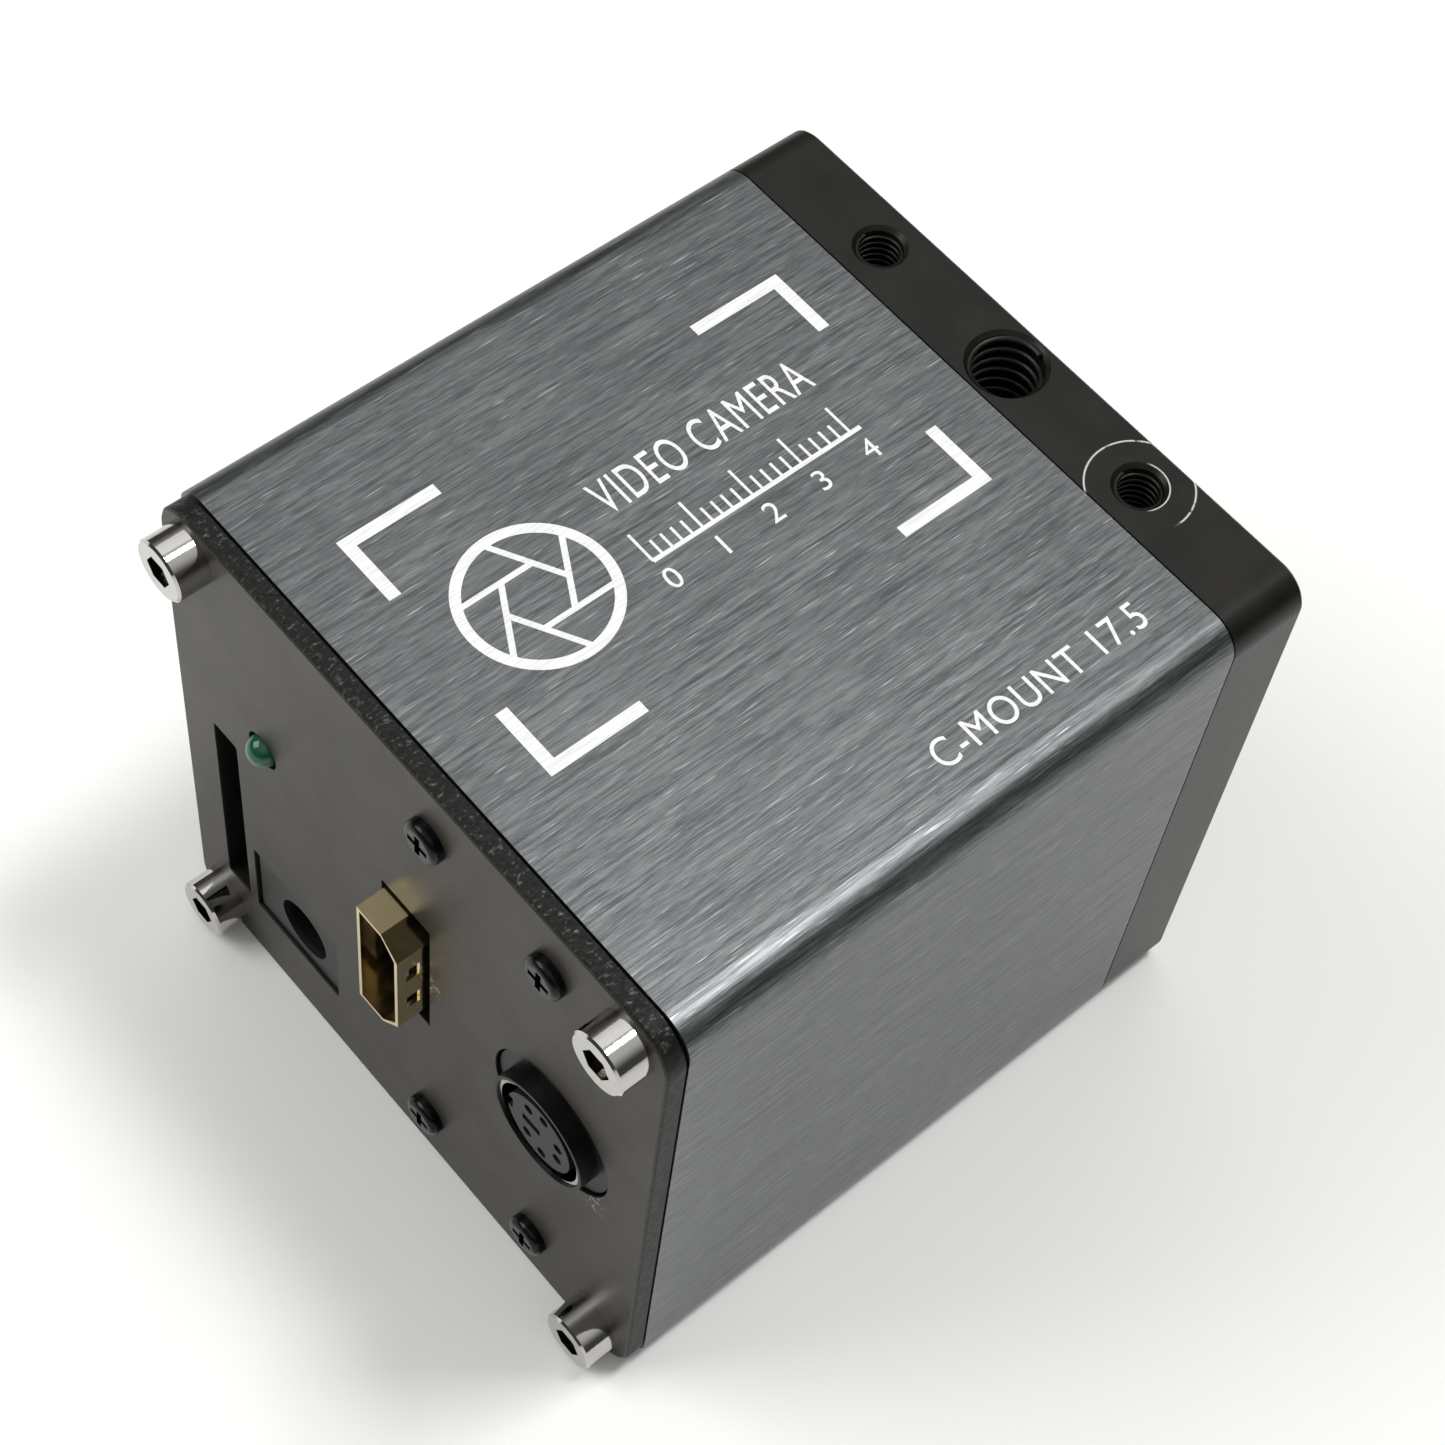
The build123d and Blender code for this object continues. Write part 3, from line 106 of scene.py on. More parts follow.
# Camera and light
CAMERA_AT = (0.09160, -0.09880, 0.24842)
CAMERA_TURN = (41.464, 33.369, 9.185)       # about +Z, then tipped up, then rolled, in degrees
CAMERA_SHIFT = (-0.02115, -0.03763)
CAMERA_LENS = 76.45
ROOM_DARK = 0.07            # strength at the horizon
ROOM_LEVEL = 0.58           # added overhead
ROOM_LEAN = 0.14            # more of it towards +X

block_low, block_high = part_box("front_block")
ring_low, ring_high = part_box("c_mount_ring")
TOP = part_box("housing")[1].z
PLATE_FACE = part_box("rear_plate")[0].y
block_y = (block_low.y + block_high.y) / 2
worn_hole = Vector((ACCESSORY_REACH, block_y, TOP))


# ---------------------------------------------------------------- materials


class Value:
    """A value in a graph of nodes. Python's operators on it add Math nodes."""

    def __init__(self, graph, link):
        self.graph = graph
        self.link = link

    def maths(self, operation, *terms):
        return self.graph.node("ShaderNodeMath", {"operation": operation}, dict(enumerate(terms)))

    def __add__(self, other):
        return self.maths("ADD", self, other)

    __radd__ = __add__

    def __sub__(self, other):
        return self.maths("SUBTRACT", self, other)

    def __rsub__(self, other):
        return self.maths("SUBTRACT", other, self)

    def __mul__(self, other):
        return self.maths("MULTIPLY", self, other)

    __rmul__ = __mul__

    def root(self):
        return self.maths("SQRT", self)

    def step(self, start, end):
        """0 below start and 1 above end, with a smooth rise between. Falls if end is lower."""
        low, high = (start, end) if start < end else (end, start)
        sockets = {"Value": self, "From Min": low, "From Max": high}
        if start > end:
            sockets.update({"To Min": 1.0, "To Max": 0.0})
        return self.graph.node("ShaderNodeMapRange", {"interpolation_type": "SMOOTHSTEP"}, sockets)


class Graph:
    """The nodes of a material or of the surroundings."""

    def __init__(self, tree):
        self.nodes = tree.nodes
        self.links = tree.links

    def node(self, kind, settings=None, sockets=None, output=0):
        """Add a node: its settings first, then its sockets' values or links."""
        made = self.nodes.new(kind)
        for word, value in (settings or {}).items():
            setattr(made, word, value)
        for word, value in (sockets or {}).items():
            if isinstance(value, Value):
                self.links.new(value.link, made.inputs[word])
            else:
                made.inputs[word].default_value = value
        return Value(self, made.outputs[output])


class Finish(Graph):
    """A material being made, with one Principled shader. Keywords set its constant sockets."""

    def __init__(self, name, colour, **constants):
        self.material = bpy.data.materials.new(name)
        self.material.use_nodes = True
        super().__init__(self.material.node_tree)
        self.shader = next(n for n in self.nodes if n.type == "BSDF_PRINCIPLED")
        self.shader.inputs["Base Color"].default_value = (*colour, 1)
        for word, value in constants.items():
            self.shader.inputs[word.replace("_", " ")].default_value = value
        self.place = self.node("ShaderNodeTexCoord", output="Object")

    def drive(self, socket, value):
        self.links.new(value.link, self.shader.inputs[socket])

    def axis(self, name):
        """One Object coordinate, in metres."""
        return self.node("ShaderNodeSeparateXYZ", sockets={"Vector": self.place}, output=name)

    def noise(self, per_metre, detail=2.0, roughness=0.5, shift=0.0):
        """Noise from 0 to 1, with a count per metre along X, Y and Z."""
        spread = self.node(
            "ShaderNodeMapping",
            sockets={"Vector": self.place, "Scale": per_metre, "Location": (shift,) * 3},
        )
        return self.node(
            "ShaderNodeTexNoise",
            {"noise_dimensions": "3D"},
            {"Vector": spread, "Scale": 1.0, "Detail": detail, "Roughness": roughness},
        )

    def blend(self, factor, first, second):
        """Colour mix: first where factor is 0, second where it is 1."""
        sides = [(*side, 1) if isinstance(side, tuple) else side for side in (first, second)]
        sockets = {0: factor, 6: sides[0], 7: sides[1]}
        return self.node("ShaderNodeMix", {"data_type": "RGBA"}, sockets, output=2)

    def bump(self, height, strength, distance):
        settings = {"Height": height, "Strength": strength, "Distance": distance}
        self.drive("Normal", self.node("ShaderNodeBump", sockets=settings))


def even(level):
    """A count per metre that is the same along every axis."""
    return (level, level, level)


def brushed_housing():
    """Blue-grey anodised aluminium, brushed along Y."""
    finish = Finish("brushed_housing", (0.20, 0.22, 0.23), Metallic=1.0)
    fine = finish.noise((9500, 360, 9500), detail=4.0, roughness=0.7)
    long = finish.noise((2600, 80, 2600), detail=3.0, roughness=0.6, shift=3.0)
    broad = finish.noise((220, 40, 220), shift=9.0)
    glint = finish.noise((6000, 300, 6000), detail=1.0, shift=17.0).step(0.64, 0.80)
    nick = finish.noise((5000, 700, 5000), detail=1.0, shift=31.0).step(0.66, 0.78)
    grain = fine * 0.55 + long * 0.45
    metal = finish.blend(grain.step(0.36, 0.66), (0.072, 0.0785, 0.081), (0.225, 0.236, 0.237))
    cloudy = finish.blend(broad.step(0.35, 0.65) * 0.25, metal, (0.120, 0.130, 0.133))
    bright = finish.blend(glint * 0.55, cloudy, (0.55, 0.57, 0.58))
    finish.drive("Base Color", finish.blend(nick * 0.55, bright, (0.07, 0.08, 0.085)))
    finish.drive("Roughness", 0.28 + grain * 0.20)
    finish.bump(grain, 0.5, 0.00006)
    return finish.material


def satin_plate():
    """Warm dark grey anodised plate: smooth on its face, coarse and darker on its saw-cut edge, with
    painted glints along the top of that edge.
    """
    finish = Finish("satin_plate", (0.04, 0.037, 0.032), Specular_IOR_Level=0.20)
    depth = (finish.axis("Y") - PLATE_FACE) * PER_MM
    edge = depth.step(0.02, 0.20)
    cloud = finish.noise(even(160), detail=4.0)
    fine = finish.noise(even(5200), detail=2.0)
    rubbed = finish.noise(even(900), detail=5.0, shift=4.0).step(0.60, 0.74)
    face = finish.blend(cloud.step(0.35, 0.65), (0.028, 0.0242, 0.0180), (0.039, 0.0338, 0.026))
    face = finish.blend(rubbed * 0.10, face, (0.14, 0.13, 0.12))
    scuffs = finish.noise(even(2600), detail=3.0, shift=8.0).step(0.54, 0.64)
    face = finish.blend(scuffs * scuffed(finish) * 0.9, face, (0.34, 0.31, 0.28))
    pits = finish.noise(even(1500), detail=4.0, shift=12.0)
    # Painted glints: bright metallic flecks kept only along the top of the saw-cut edge, where the
    # light catches it.
    upper = finish.axis("Z").step(TOP - 0.0030, TOP - 0.0004)
    lumps = finish.noise((2600, 1500, 2600), detail=4.0, roughness=0.65, shift=23.0)
    painted_glints = lumps.step(0.53, 0.72) * upper
    saw_cut_edge_and_glints = finish.blend(painted_glints, (0.006, 0.0056, 0.005), (0.13, 0.127, 0.124))
    finish.drive("Base Color", finish.blend(edge, face, saw_cut_edge_and_glints))
    finish.drive("Roughness", (0.34 + fine * 0.12) * (1 - edge) + (0.34 + pits * 0.3) * edge)
    finish.drive("Metallic", edge * painted_glints)
    finish.bump(fine * (1 - edge) * 0.2 + pits * edge * (upper * 2.5 + 1.0), 0.6, 0.00008)
    return finish.material


def scuffed(finish):
    """Mask of the small scuffs beside the round socket and above the video socket."""
    spots = (
        ("din_ring", 5.6, -4.6, 1.7),
        ("video_shell", 3.4, -0.5, 1.3),
        ("video_shell", -2.6, 5.4, 0.9),
    )
    mask = 0.0
    for node, across, up, reach in spots:
        low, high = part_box(node)
        middle = (low + high) / 2
        spread_x = (finish.axis("X") - (middle.x + across * MM)) * PER_MM
        spread_z = (finish.axis("Z") - (middle.z + up * MM)) * PER_MM
        mask = (spread_x * spread_x + spread_z * spread_z * 0.35).step(reach * reach, 0.0) + mask
    return mask


def bronze_block():
    """Satin bronze-black anodised block, with a ring worn round one accessory hole and a painted
    highlight on one side of that hole's rim.
    """
    finish = Finish("bronze_block", (0.010, 0.009, 0.007), Specular_IOR_Level=0.22)
    cloud = finish.noise(even(220), detail=4.0)
    mill = finish.noise((400, 5200, 400), detail=2.0, shift=5.0)
    fine = finish.noise(even(6000), detail=2.0, shift=8.0)
    colour = finish.blend(cloud.step(0.35, 0.65), (0.0065, 0.0060, 0.0045), (0.011, 0.0100, 0.0076))
    across = (finish.axis("X") - worn_hole.x) * PER_MM
    along = (finish.axis("Y") - worn_hole.y) * PER_MM
    radius = (across * across + along * along).root()
    line = radius.step(4.30, 4.38) * radius.step(4.52, 4.44)
    # Painted highlight: a bright arc on one side of the hole's rim.
    rim_highlight = radius.step(2.30, 2.34) * radius.step(2.46, 2.40)
    patchy = finish.noise(even(650), detail=4.0, shift=14.0)
    gone = across.step(2.6, 1.2) + along.step(-1.0, 1.0)
    line = line * patchy.step(0.38, 0.46) * gone.step(0.0, 0.8)
    # This mask holds both the wear ring and the painted rim highlight.
    worn = line + rim_highlight * (across + along).step(0.6, 1.6)
    worn = worn * finish.axis("Z").step(TOP - 0.0005, TOP - 0.0003)
    finish.drive("Base Color", finish.blend(worn * 0.85, colour, (0.62, 0.61, 0.58)))
    finish.drive("Roughness", 0.26 + mill * 0.10 + cloud * 0.06)
    finish.bump(mill * 0.5 + fine * 0.5, 0.12, 0.00003)
    return finish.material


def plain_metal(name, colour, roughness, grain=even(3000), wear=0.10):
    """Bare or plated metal with fine grain and faint stains."""
    finish = Finish(name, colour, Metallic=1.0)
    lines = finish.noise(grain, detail=3.0)
    stain = finish.noise(even(500), detail=4.0, shift=2.0).step(0.45, 0.75)
    dull = tuple(level * 0.55 for level in colour)
    finish.drive("Base Color", finish.blend(stain * wear * 2.0 + lines * 0.12, colour, dull))
    finish.drive("Roughness", roughness + lines * 0.06 + stain * wear)
    finish.bump(lines, 0.10, 0.00003)
    return finish.material


def silver_marking():
    """Silver-white marking on brushed metal, a little broken by the grain below it."""
    finish = Finish("silver_marking", (0.78, 0.78, 0.76), Roughness=0.5)
    streak = finish.noise((5200, 260, 5200), detail=3.0)
    speck = finish.noise(even(2600), detail=2.0, shift=6.0).step(0.62, 0.74)
    tone = finish.blend(streak.step(0.35, 0.65), (0.70, 0.70, 0.685), (0.86, 0.86, 0.845))
    finish.drive("Base Color", finish.blend(speck * 0.35, tone, (0.42, 0.43, 0.43)))
    finish.drive("Roughness", 0.45 + streak * 0.15)
    return finish.material


def moulded(name, colour, roughness, grit=0.2, shine=0.5):
    """Moulded plastic or rubber with a fine spark-eroded skin."""
    finish = Finish(name, colour, Specular_IOR_Level=shine)
    skin = finish.noise(even(4200), detail=3.0)
    cloud = finish.noise(even(380), detail=3.0, shift=6.0)
    light = tuple(min(1.0, level * 1.35 + 0.004) for level in colour)
    finish.drive("Base Color", finish.blend(cloud.step(0.35, 0.70) * 0.6, colour, light))
    finish.drive("Roughness", roughness + skin * 0.14)
    finish.bump(skin, grit, 0.00004)
    return finish.material


def socket_plastic():
    """Dark grey plastic of the power jack, with painted shade that turns it black and matt deep in
    its bore.
    """
    finish = Finish("jack_plastic", (0.010, 0.010, 0.010), Specular_IOR_Level=0.25)
    skin = finish.noise(even(4200), detail=3.0)
    # Painted shade: darker and matt further into the bore.
    painted_bore_shade = ((finish.axis("Y") - PLATE_FACE) * PER_MM).step(0.40, 1.0)
    finish.drive("Base Color", finish.blend(painted_bore_shade, (0.010, 0.010, 0.010), (0.001, 0.001, 0.001)))
    finish.drive("Roughness", 0.34 + skin * 0.14 + painted_bore_shade * 0.5)
    finish.bump(skin, 0.2, 0.00004)
    return finish.material


def see_through(name, colour, transmission, alpha=1.0, roughness=0.03):
    """Clear or tinted glass or resin with a faint haze."""
    finish = Finish(
        name, colour, Roughness=roughness, Transmission_Weight=transmission, Alpha=alpha
    )
    haze = finish.noise(even(700), detail=3.0)
    deep = tuple(level * 0.8 for level in colour)
    finish.drive("Base Color", finish.blend(haze.step(0.4, 0.7) * 0.5, colour, deep))
    return finish.material


def circuit_board(name, mask, copper):
    """Solder mask over copper: fine tracks and pads seen through it."""
    finish = Finish(name, mask)
    tracks = finish.node(
        "ShaderNodeTexBrick",
        {"offset": 0.5},
        {
            "Vector": finish.node(
                "ShaderNodeMapping",
                sockets={
                    "Vector": finish.place,
                    "Scale": even(1000),
                    "Rotation": (0.0, math.pi / 2, 0.0),
                },
            ),
            "Scale": 0.55,
            "Mortar Size": 0.03,
            "Mortar Smooth": 0.1,
        },
        output="Fac",
    )
    weave = finish.noise(even(2600), detail=1.0)
    worn = finish.noise(even(240), detail=2.0, shift=3.0)
    colour = finish.blend(tracks * worn.step(0.4, 0.5), mask, copper)
    dark = tuple(level * 0.6 for level in mask)
    finish.drive("Base Color", finish.blend(weave.step(0.5, 0.7) * 0.25, colour, dark))
    finish.drive("Roughness", 0.26 + weave * 0.12)
    finish.bump(tracks * 0.6 + weave * 0.2, 0.2, 0.00005)
    return finish.material


def silicon_die():
    """Image sensor's die: a sheen that turns from violet to green."""
    finish = Finish("silicon_die", (0.10, 0.08, 0.16), Metallic=1.0, Roughness=0.18)
    sweep = finish.noise(even(60), detail=1.0).step(0.35, 0.65)
    finish.drive("Base Color", finish.blend(sweep, (0.16, 0.07, 0.24), (0.06, 0.20, 0.17)))
    return finish.material


MATERIALS = {
    "housing_anodised": brushed_housing(),
    "plate_anodised": satin_plate(),
    "block_anodised": bronze_block(),
    "ring_anodised": moulded("black_anodised_ring", (0.018, 0.018, 0.019), 0.28, 0.12),
    "bright_nickel": plain_metal("bright_nickel", (0.54, 0.525, 0.50), 0.04, wear=0.05),
    "black_steel": moulded("black_oxide_steel", (0.002, 0.002, 0.002), 0.12, 0.4, 0.2),
    "bare_aluminium": plain_metal("machined_aluminium", (0.72, 0.73, 0.74), 0.30, (400, 5000, 5000)),
    "board_green": circuit_board("green_board", (0.012, 0.115, 0.055), (0.05, 0.23, 0.09)),
    "board_black": circuit_board("black_board", (0.010, 0.010, 0.012), (0.04, 0.04, 0.045)),
    "black_plastic": moulded("black_plastic", (0.004, 0.004, 0.004), 0.28, shine=0.18),
    "grey_plastic": socket_plastic(),
    "white_plastic": moulded("white_plastic", (0.72, 0.70, 0.64), 0.40),
    "spring_steel": plain_metal("spring_steel", (0.62, 0.61, 0.58), 0.24, (900, 6000, 900)),
    "contact_gold": plain_metal("contact_gold", (0.83, 0.62, 0.25), 0.20),
    "shell_brass": plain_metal("shell_brass", (0.86, 0.72, 0.42), 0.09, wear=0.12),
    "lamp_green": see_through("green_lamp_resin", (0.012, 0.13, 0.075), 0.30, roughness=0.08),
    "gasket_rubber": moulded("gasket_rubber", (0.020, 0.020, 0.020), 0.65, 0.5),
    "filter_glass": see_through("filter_glass", (0.62, 0.86, 0.88), 0.9),
    "clear_glass": see_through("cover_glass", (0.93, 0.97, 0.96), 0.95),
    "ceramic": moulded("sensor_ceramic", (0.42, 0.40, 0.36), 0.45),
    "silicon": silicon_die(),
    "chip_black": moulded("chip_epoxy", (0.022, 0.022, 0.024), 0.48, 0.35),
    "pad_grey": moulded("thermal_pad", (0.30, 0.34, 0.40), 0.70, 0.4),
    "sink_black": plain_metal("heat_sink_black", (0.035, 0.035, 0.04), 0.40, (400, 5000, 5000)),
    "ferrite": moulded("ferrite", (0.050, 0.048, 0.048), 0.55, 0.6),
    "capacitor_can": plain_metal("capacitor_can", (0.70, 0.71, 0.72), 0.22),
    "flex_film": moulded("polyimide_film", (0.46, 0.20, 0.035), 0.22, 0.1),
}

MARKING = silver_marking()

for entry in frame["record"]["subparts"]:
    node = frame["nodes"][entry["node"]]
    node.data.materials.clear()
    node.data.materials.append(MATERIALS[entry["material_slot"]])


# ---------------------------------------------------------------- making pieces


def seat(piece, body=BODY):
    """Put a finished piece on its body."""
    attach(piece, body)
    return piece


def link_mesh(name, mesh, material):
    """A new object for a mesh, with one material."""
    mesh.name = name
    mesh.materials.clear()
    mesh.materials.append(material)
    piece = bpy.data.objects.new(name, mesh)
    bpy.context.collection.objects.link(piece)
    return piece


class Tree:
    """A Geometry Nodes tree being made, with named inputs for its sizes."""

    def __init__(self, name, sizes):
        self.group = bpy.data.node_groups.new(name, "GeometryNodeTree")
        self.sizes = sizes
        for word, value in sizes.items():
            kind = "NodeSocketInt" if isinstance(value, int) else "NodeSocketFloat"
            self.group.interface.new_socket(word, in_out="INPUT", socket_type=kind)
        self.group.interface.new_socket("Mesh", in_out="OUTPUT", socket_type="NodeSocketGeometry")
        self.input = self.group.nodes.new("NodeGroupInput")

    def size(self, word):
        return self.input.outputs[word]

    def node(self, kind, settings=None, output=0, **sockets):
        made = self.group.nodes.new(kind)
        for word, value in (settings or {}).items():
            setattr(made, word, value)
        for word, value in sockets.items():
            socket = made.inputs[word.replace("_", " ")]
            if isinstance(value, bpy.types.NodeSocket):
                self.group.links.new(value, socket)
            else:
                socket.default_value = value
        return made.outputs[output]

    def spiral(self):
        """Path of a coil, with the sizes Steps, Turns, Radius and Length."""
        return self.node(
            "GeometryNodeCurveSpiral",
            Resolution=self.size("Steps"),
            Rotations=self.size("Turns"),
            Start_Radius=self.size("Radius"),
            End_Radius=self.size("Radius"),
            Height=self.size("Length"),
        )

    def piece(self, name, geometry, material, place):
        """End the tree, apply it to a mesh, and turn and move that mesh into its place."""
        real = self.node("GeometryNodeRealizeInstances", Geometry=geometry)
        painted = self.node("GeometryNodeSetMaterial", Geometry=real, Material=material)
        output = self.group.nodes.new("NodeGroupOutput")
        self.group.links.new(painted, output.inputs["Mesh"])
        holder = bpy.data.objects.new(name + "_holder", bpy.data.meshes.new(name))
        bpy.context.collection.objects.link(holder)
        modifier = holder.modifiers.new("tree", "NODES")
        modifier.node_group = self.group
        for socket in self.group.interface.items_tree:
            if socket.in_out == "INPUT":
                modifier[socket.identifier] = self.sizes[socket.name]
        bpy.context.view_layer.update()
        shape = holder.evaluated_get(bpy.context.evaluated_depsgraph_get())
        mesh = bpy.data.meshes.new_from_object(shape)
        bpy.data.objects.remove(holder)
        mesh.transform(place)
        return link_mesh(name, mesh, material)


def facing(axis):
    """Turn that takes +Z to axis."""
    return Vector(axis).to_track_quat("Z", "Y").to_matrix().to_4x4()


def thread(name, slot, body, start, axis, sizes):
    """Helical ridge on a tapped wall, from its mouth inwards. axis points out of the hole."""
    major, minor, pitch, length = sizes
    tree = Tree(
        "thread_ridge",
        {
            "Steps": 44,
            "Turns": length / pitch,
            "Radius": major - RIDGE_SUNK,
            "Length": length,
            "Ridge": major - RIDGE_SUNK - minor,
        },
    )
    path = tree.node("GeometryNodeSetCurveNormal", {"mode": "Z_UP"}, Curve=tree.spiral())
    profile = tree.node("GeometryNodeCurvePrimitiveCircle", Resolution=3, Radius=tree.size("Ridge"))
    turned = tree.node("GeometryNodeTransform", Geometry=profile, Rotation=(0, 0, math.pi))
    ridge = tree.node("GeometryNodeCurveToMesh", Curve=path, Profile_Curve=turned, Fill_Caps=True)
    depth = Vector(axis) * (length + RIDGE_START)
    place = Matrix.Translation(Vector(start) - depth) @ facing(axis)
    return seat(tree.piece(name, ridge, MATERIALS[slot], place), body)


def tick_row(name, count, gap, length, height, place):
    """Row of short strokes on a scale."""
    sizes = {"Count": count, "Gap": gap, "Length": length, "Width": TICK_W, "Height": height}
    tree = Tree("tick_row", sizes)
    step = tree.node("ShaderNodeCombineXYZ", X=tree.size("Gap"))
    row = tree.node("GeometryNodeMeshLine", Count=tree.size("Count"), Offset=step)
    shape = tree.node(
        "ShaderNodeCombineXYZ",
        X=tree.size("Width"),
        Y=tree.size("Length"),
        Z=tree.size("Height"),
    )
    stroke = tree.node("GeometryNodeMeshCube", Size=shape)
    strokes = tree.node("GeometryNodeInstanceOnPoints", Points=row, Instance=stroke)
    return seat(tree.piece(name, strokes, MARKING, place))


# ---------------------------------------------------------------- threads and spring

UP, OUT = (0, 0, 1), (0, 1, 0)
thread("tripod_thread", "block_anodised", BODY, (0, block_y, TOP), UP, TRIPOD_THREAD)
for side, x in (("left", -worn_hole.x), ("right", worn_hole.x)):
    name = "accessory_thread_" + side
    thread(name, "block_anodised", BODY, (x, block_y, TOP), UP, ACCESSORY_THREAD)
ring_mouth = ((ring_low.x + ring_high.x) / 2, ring_high.y, (ring_low.z + ring_high.z) / 2)
thread("lens_thread", "ring_anodised", "c_mount_ring", ring_mouth, OUT, LENS_THREAD)


def carriage_spring():
    """Coil behind the card's carriage, in place of the imported spring."""
    low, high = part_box("slider_spring")
    middle = (low + high) / 2
    joints = frame["record"]["behaviour"]["joints"]
    travel = next(joint for joint in joints if joint["name"] == "card_slide")["range_m"][1]
    tree = Tree(
        "coil_spring",
        {
            "Steps": 32,
            "Turns": SPRING_TURNS,
            "Radius": (high.x - low.x) / 2 - SPRING_WIRE_R,
            "Length": high.y - low.y - 2 * SPRING_WIRE_R,
            "Wire": SPRING_WIRE_R,
        },
    )
    wire = tree.node("GeometryNodeCurvePrimitiveCircle", Resolution=8, Radius=tree.size("Wire"))
    coil = tree.node(
        "GeometryNodeCurveToMesh", Curve=tree.spiral(), Profile_Curve=wire, Fill_Caps=True
    )
    place = Matrix.Translation((middle.x, low.y + SPRING_WIRE_R, middle.z)) @ facing(OUT)
    spring = tree.piece("carriage_spring", coil, MATERIALS["spring_steel"], place)
    seat(spring)
    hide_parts("slider_spring")
    keep = 1 - (travel + SPRING_SPARE) / (high.y - low.y)
    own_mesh(spring)


carriage_spring()

# ---------------------------------------------------------------- marks on the top


def prism(form, outline, height):
    """Thin plate with the given outline, counter-clockwise, added to form."""
    low = [form.verts.new((x, y, 0)) for x, y in outline]
    high = [form.verts.new((x, y, height)) for x, y in outline]
    form.faces.new(high)
    form.faces.new(low[::-1])
    for i in range(len(outline)):
        after = (i + 1) % len(outline)
        form.faces.new((low[i], low[after], high[after], high[i]))


def bar(form, start, end, width, height):
    """Straight stroke from start to end."""
    run = Vector(end) - Vector(start)
    side = Vector((-run.y, run.x)).normalized() * (width / 2)
    a, b = Vector(start), Vector(end)
    prism(form, [tuple(a - side), tuple(b - side), tuple(b + side), tuple(a + side)], height)


def band(form, middle, inner, outer, steps=72):
    """Flat ring."""
    rings = [
        [
            form.verts.new(
                (
                    middle[0] + radius * math.cos(2 * math.pi * i / steps),
                    middle[1] + radius * math.sin(2 * math.pi * i / steps),
                    height,
                )
            )
            for i in range(steps)
        ]
        for radius, height in ((inner, MARK_T), (outer, MARK_T), (outer, 0), (inner, 0))
    ]
    for first, second in zip(rings, rings[1:] + rings[:1]):
        for i in range(steps):
            after = (i + 1) % steps
            form.faces.new((first[i], second[i], second[after], first[after]))


def lettering(form, text, height, spot, width=None):
    """Plain capitals and figures, added to form. spot is the left end of the base line."""
    curve = bpy.data.curves.new("lettering", "FONT")
    curve.body = text
    curve.size = height / CAPITALS
    curve.space_character = 1.08
    curve.extrude = MARK_T / 2
    curve.resolution_u = 6
    holder = bpy.data.objects.new("lettering", curve)
    bpy.context.collection.objects.link(holder)
    bpy.context.view_layer.update()
    shape = holder.evaluated_get(bpy.context.evaluated_depsgraph_get())
    mesh = bpy.data.meshes.new_from_object(shape)
    bpy.data.objects.remove(holder)
    across = [corner.co.x for corner in mesh.vertices]
    stretch = width / (max(across) - min(across)) if width else 1.0
    grow = Matrix.Diagonal((stretch, 1, 1, 1))
    mesh.transform(Matrix.Translation((*spot, MARK_T / 2)) @ grow)
    form.from_mesh(mesh)
    bpy.data.meshes.remove(mesh)


def marked_piece(name, form, place):
    """Turn the collected marks into one piece on the top face."""
    bmesh.ops.remove_doubles(form, verts=form.verts, dist=1e-7)
    bmesh.ops.recalc_face_normals(form, faces=form.faces)
    mesh = bpy.data.meshes.new(name)
    form.to_mesh(mesh)
    form.free()
    mesh.transform(place)
    return seat(link_mesh(name, mesh, MARKING))


def reading_place(spot):
    """Place for a group of marks that reads along +Y, sunk by a quarter of its height."""
    x, y = spot
    return Matrix(((0, -1, 0, x), (1, 0, 0, y), (0, 0, 1, TOP - MARK_T / 4), (0, 0, 0, 1)))


marks = bmesh.new()
for way_x in (-1, 1):
    for way_y in (-1, 1):
        corner = Vector((way_x * FRAME_W / 2, way_y * FRAME_H / 2))
        bar(marks, corner, corner - Vector((way_x * BRACKET[0], 0)), BRACKET_T, MARK_T)
        start = corner + Vector((0, way_y * BRACKET_T / 2))
        bar(marks, start, corner - Vector((0, way_y * BRACKET[1])), BRACKET_T, MARK_T * 0.9)
band(marks, IRIS, IRIS_R - IRIS_RIM, IRIS_R)
turns = [Matrix.Rotation(blade * 2 * math.pi / IRIS_BLADES, 2) for blade in range(IRIS_BLADES)]
for blade, turn in enumerate(turns):
    start = IRIS + turn @ Vector((IRIS_R * BLADE_START, 0))
    heading = turn @ Vector((math.cos(2 * math.pi / 3), math.sin(2 * math.pi / 3)))
    end = start + heading * IRIS_R * BLADE_L
    bar(marks, start, end, BLADE_T, MARK_T * (0.9 - 0.05 * blade))
lettering(marks, "VIDEO CAMERA", TITLE_H, (SCALE_START[0], TITLE_RISE), width=SCALE_L)
bar(marks, SCALE_START, (SCALE_START[0] + SCALE_L, SCALE_START[1]), SCALE_T, MARK_T)
for number in range(5):
    across = SCALE_START[0] + number * SCALE_STEP + NUMBER_SHIFT[0]
    lettering(marks, str(number), NUMBER_H, (across, SCALE_START[1] + NUMBER_SHIFT[1]))
marked_piece("top_marks", marks, reading_place(MARKS_MIDDLE))
for word, count, gap, length, height in (
    ("small", 21, SCALE_STEP / 5, TICK_L[0], MARK_T * 0.8),
    ("large", 5, SCALE_STEP, TICK_L[1], MARK_T * 0.9),
):
    place = Matrix.Translation((SCALE_START[0], SCALE_START[1] + length / 2, height / 2))
    place = reading_place(MARKS_MIDDLE) @ place
    tick_row("scale_ticks_" + word, count, gap, length, height, place)

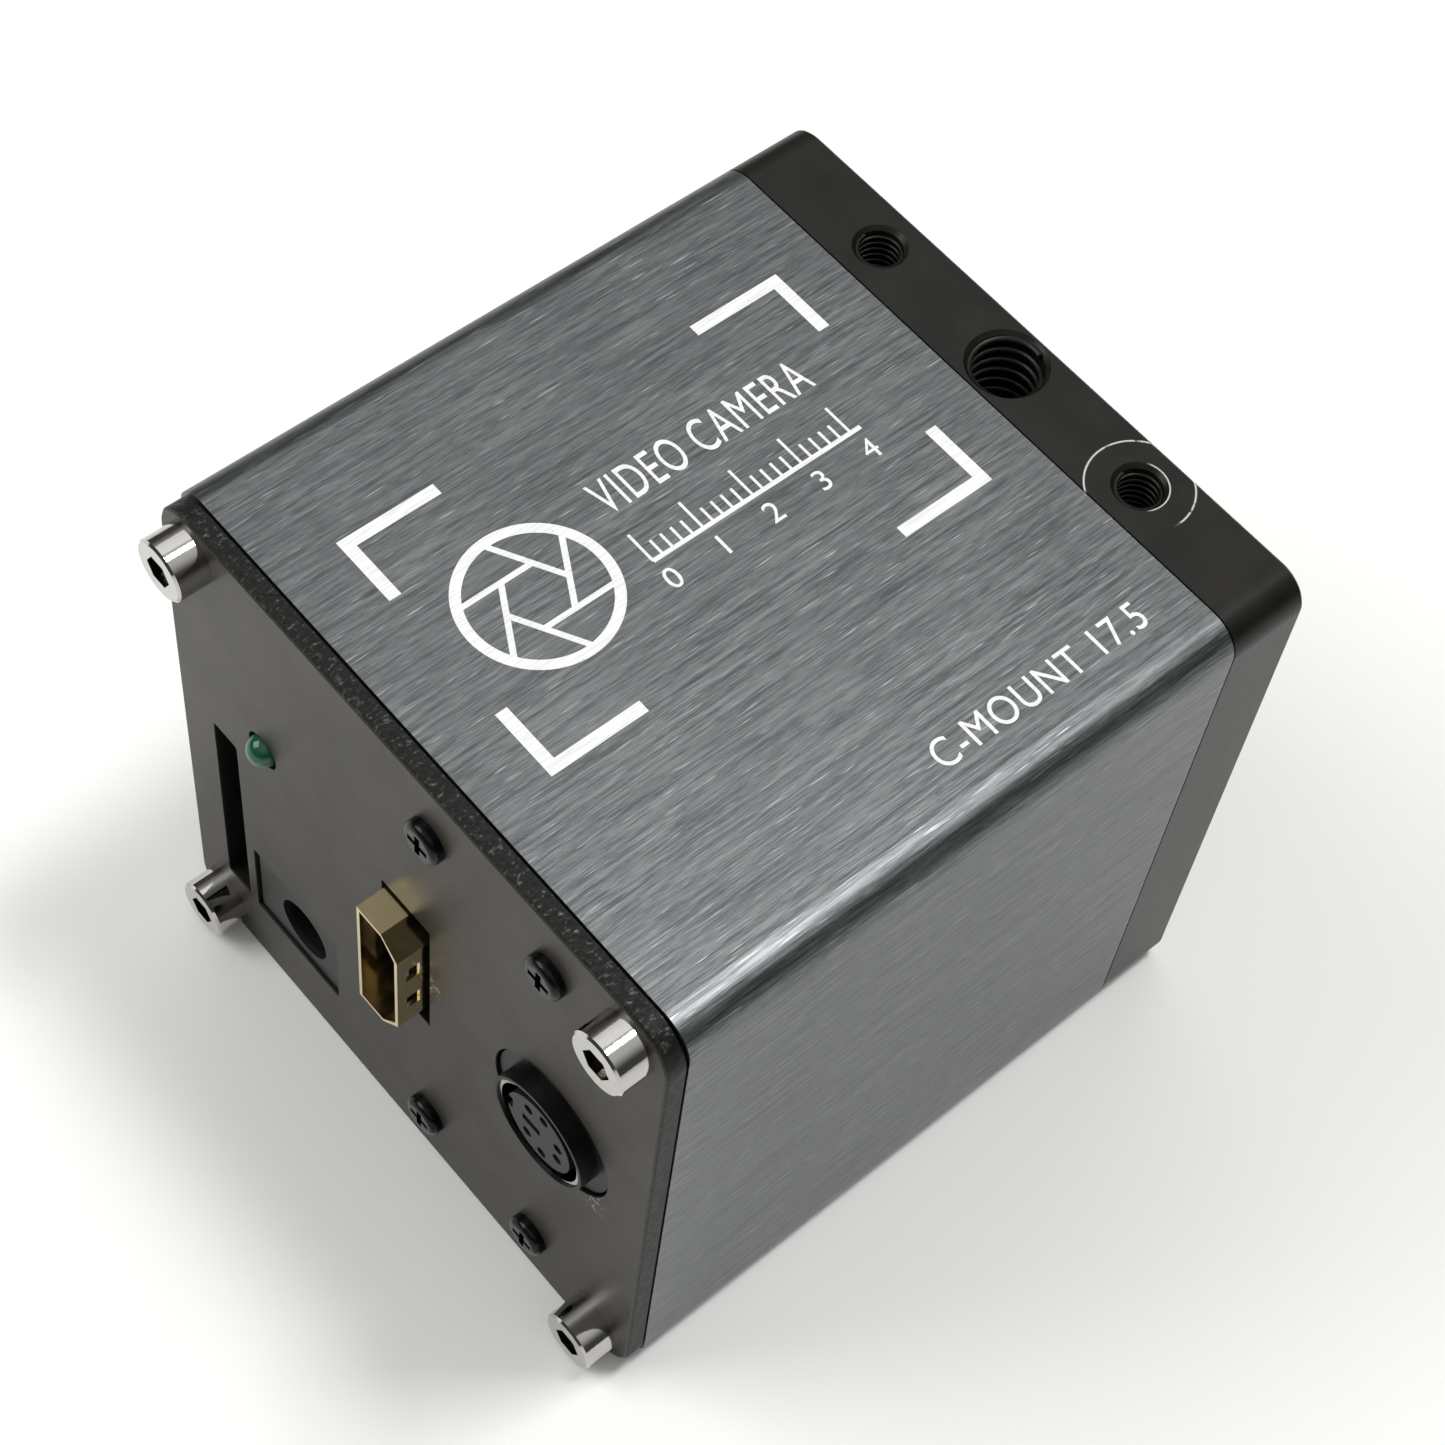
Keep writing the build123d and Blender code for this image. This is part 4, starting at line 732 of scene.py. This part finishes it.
type_line = bmesh.new()
lettering(type_line, "C-MOUNT 17.5", LINE_H, (0, 0), width=LINE_L)
marked_piece("mount_line", type_line, reading_place(LINE_START))

# ---------------------------------------------------------------- camera, floor and light


def camera_view():
    """Camera above the rear plate, towards +X, a little rolled."""
    camera = bpy.data.cameras.new("view")
    camera.lens = CAMERA_LENS
    camera.sensor_width = 36.0
    camera.shift_x, camera.shift_y = CAMERA_SHIFT
    camera.clip_start = 0.01
    holder = bpy.data.objects.new("view", camera)
    bpy.context.collection.objects.link(holder)
    about, tip, roll = (math.radians(angle) for angle in CAMERA_TURN)
    turn = (
        Matrix.Rotation(about, 4, "Z")
        @ Matrix.Rotation(tip, 4, "X")
        @ Matrix.Rotation(roll, 4, "Z")
    )
    holder.matrix_world = Matrix.Translation(CAMERA_AT) @ turn
    bpy.context.scene.camera = holder


def floor():
    """Large pale table top."""
    finish = Finish("pale_table", (0.90, 0.90, 0.885), Roughness=0.55)
    grain = finish.noise(even(90), detail=3.0)
    finish.drive("Base Color", finish.blend(grain * 0.4, (0.91, 0.91, 0.895), (0.885, 0.885, 0.87)))
    mesh = bpy.data.meshes.new("table")
    reach = 3.0
    corners = [(-reach, -reach, 0), (reach, -reach, 0), (reach, reach, 0), (-reach, reach, 0)]
    mesh.from_pydata(corners, [], [(0, 1, 2, 3)])
    link_mesh("table", mesh, finish.material)


def softbox(name, spot, size, power, towards=(0, 0, 0.03)):
    """Square area light that faces the object."""
    light = bpy.data.lights.new(name, "AREA")
    light.shape = "SQUARE"
    light.size = size
    light.energy = power
    holder = bpy.data.objects.new(name, light)
    holder.location = spot
    holder.rotation_euler = (Vector(towards) - Vector(spot)).to_track_quat("-Z", "Y").to_euler()
    bpy.context.collection.objects.link(holder)


def room_light():
    """Surroundings: bright overhead and towards +X, dark at the horizon."""
    world = bpy.data.worlds.new("room")
    bpy.context.scene.world = world
    world.use_nodes = True
    room = Graph(world.node_tree)
    way = room.node("ShaderNodeTexCoord", output="Generated")
    height = room.node("ShaderNodeSeparateXYZ", sockets={"Vector": way}, output="Z")
    side = room.node("ShaderNodeSeparateXYZ", sockets={"Vector": way}, output="X")
    strength = ROOM_DARK + height.step(0.30, 0.90) * (ROOM_LEVEL + side * ROOM_LEAN)
    background = room.nodes["Background"]
    background.inputs["Color"].default_value = (1.0, 1.0, 0.985, 1)
    room.links.new(strength.link, background.inputs["Strength"])


camera_view()
floor()
room_light()
softbox("window", (0.15, 0.25, 0.96), 0.18, 4.3)
softbox("ceiling", (-0.42, 0.40, 0.92), 0.70, 1.0)
softbox("front_fill", (-0.80, -0.75, 1.00), 0.90, 11.0)
bpy.context.scene.view_settings.view_transform = "Standard"
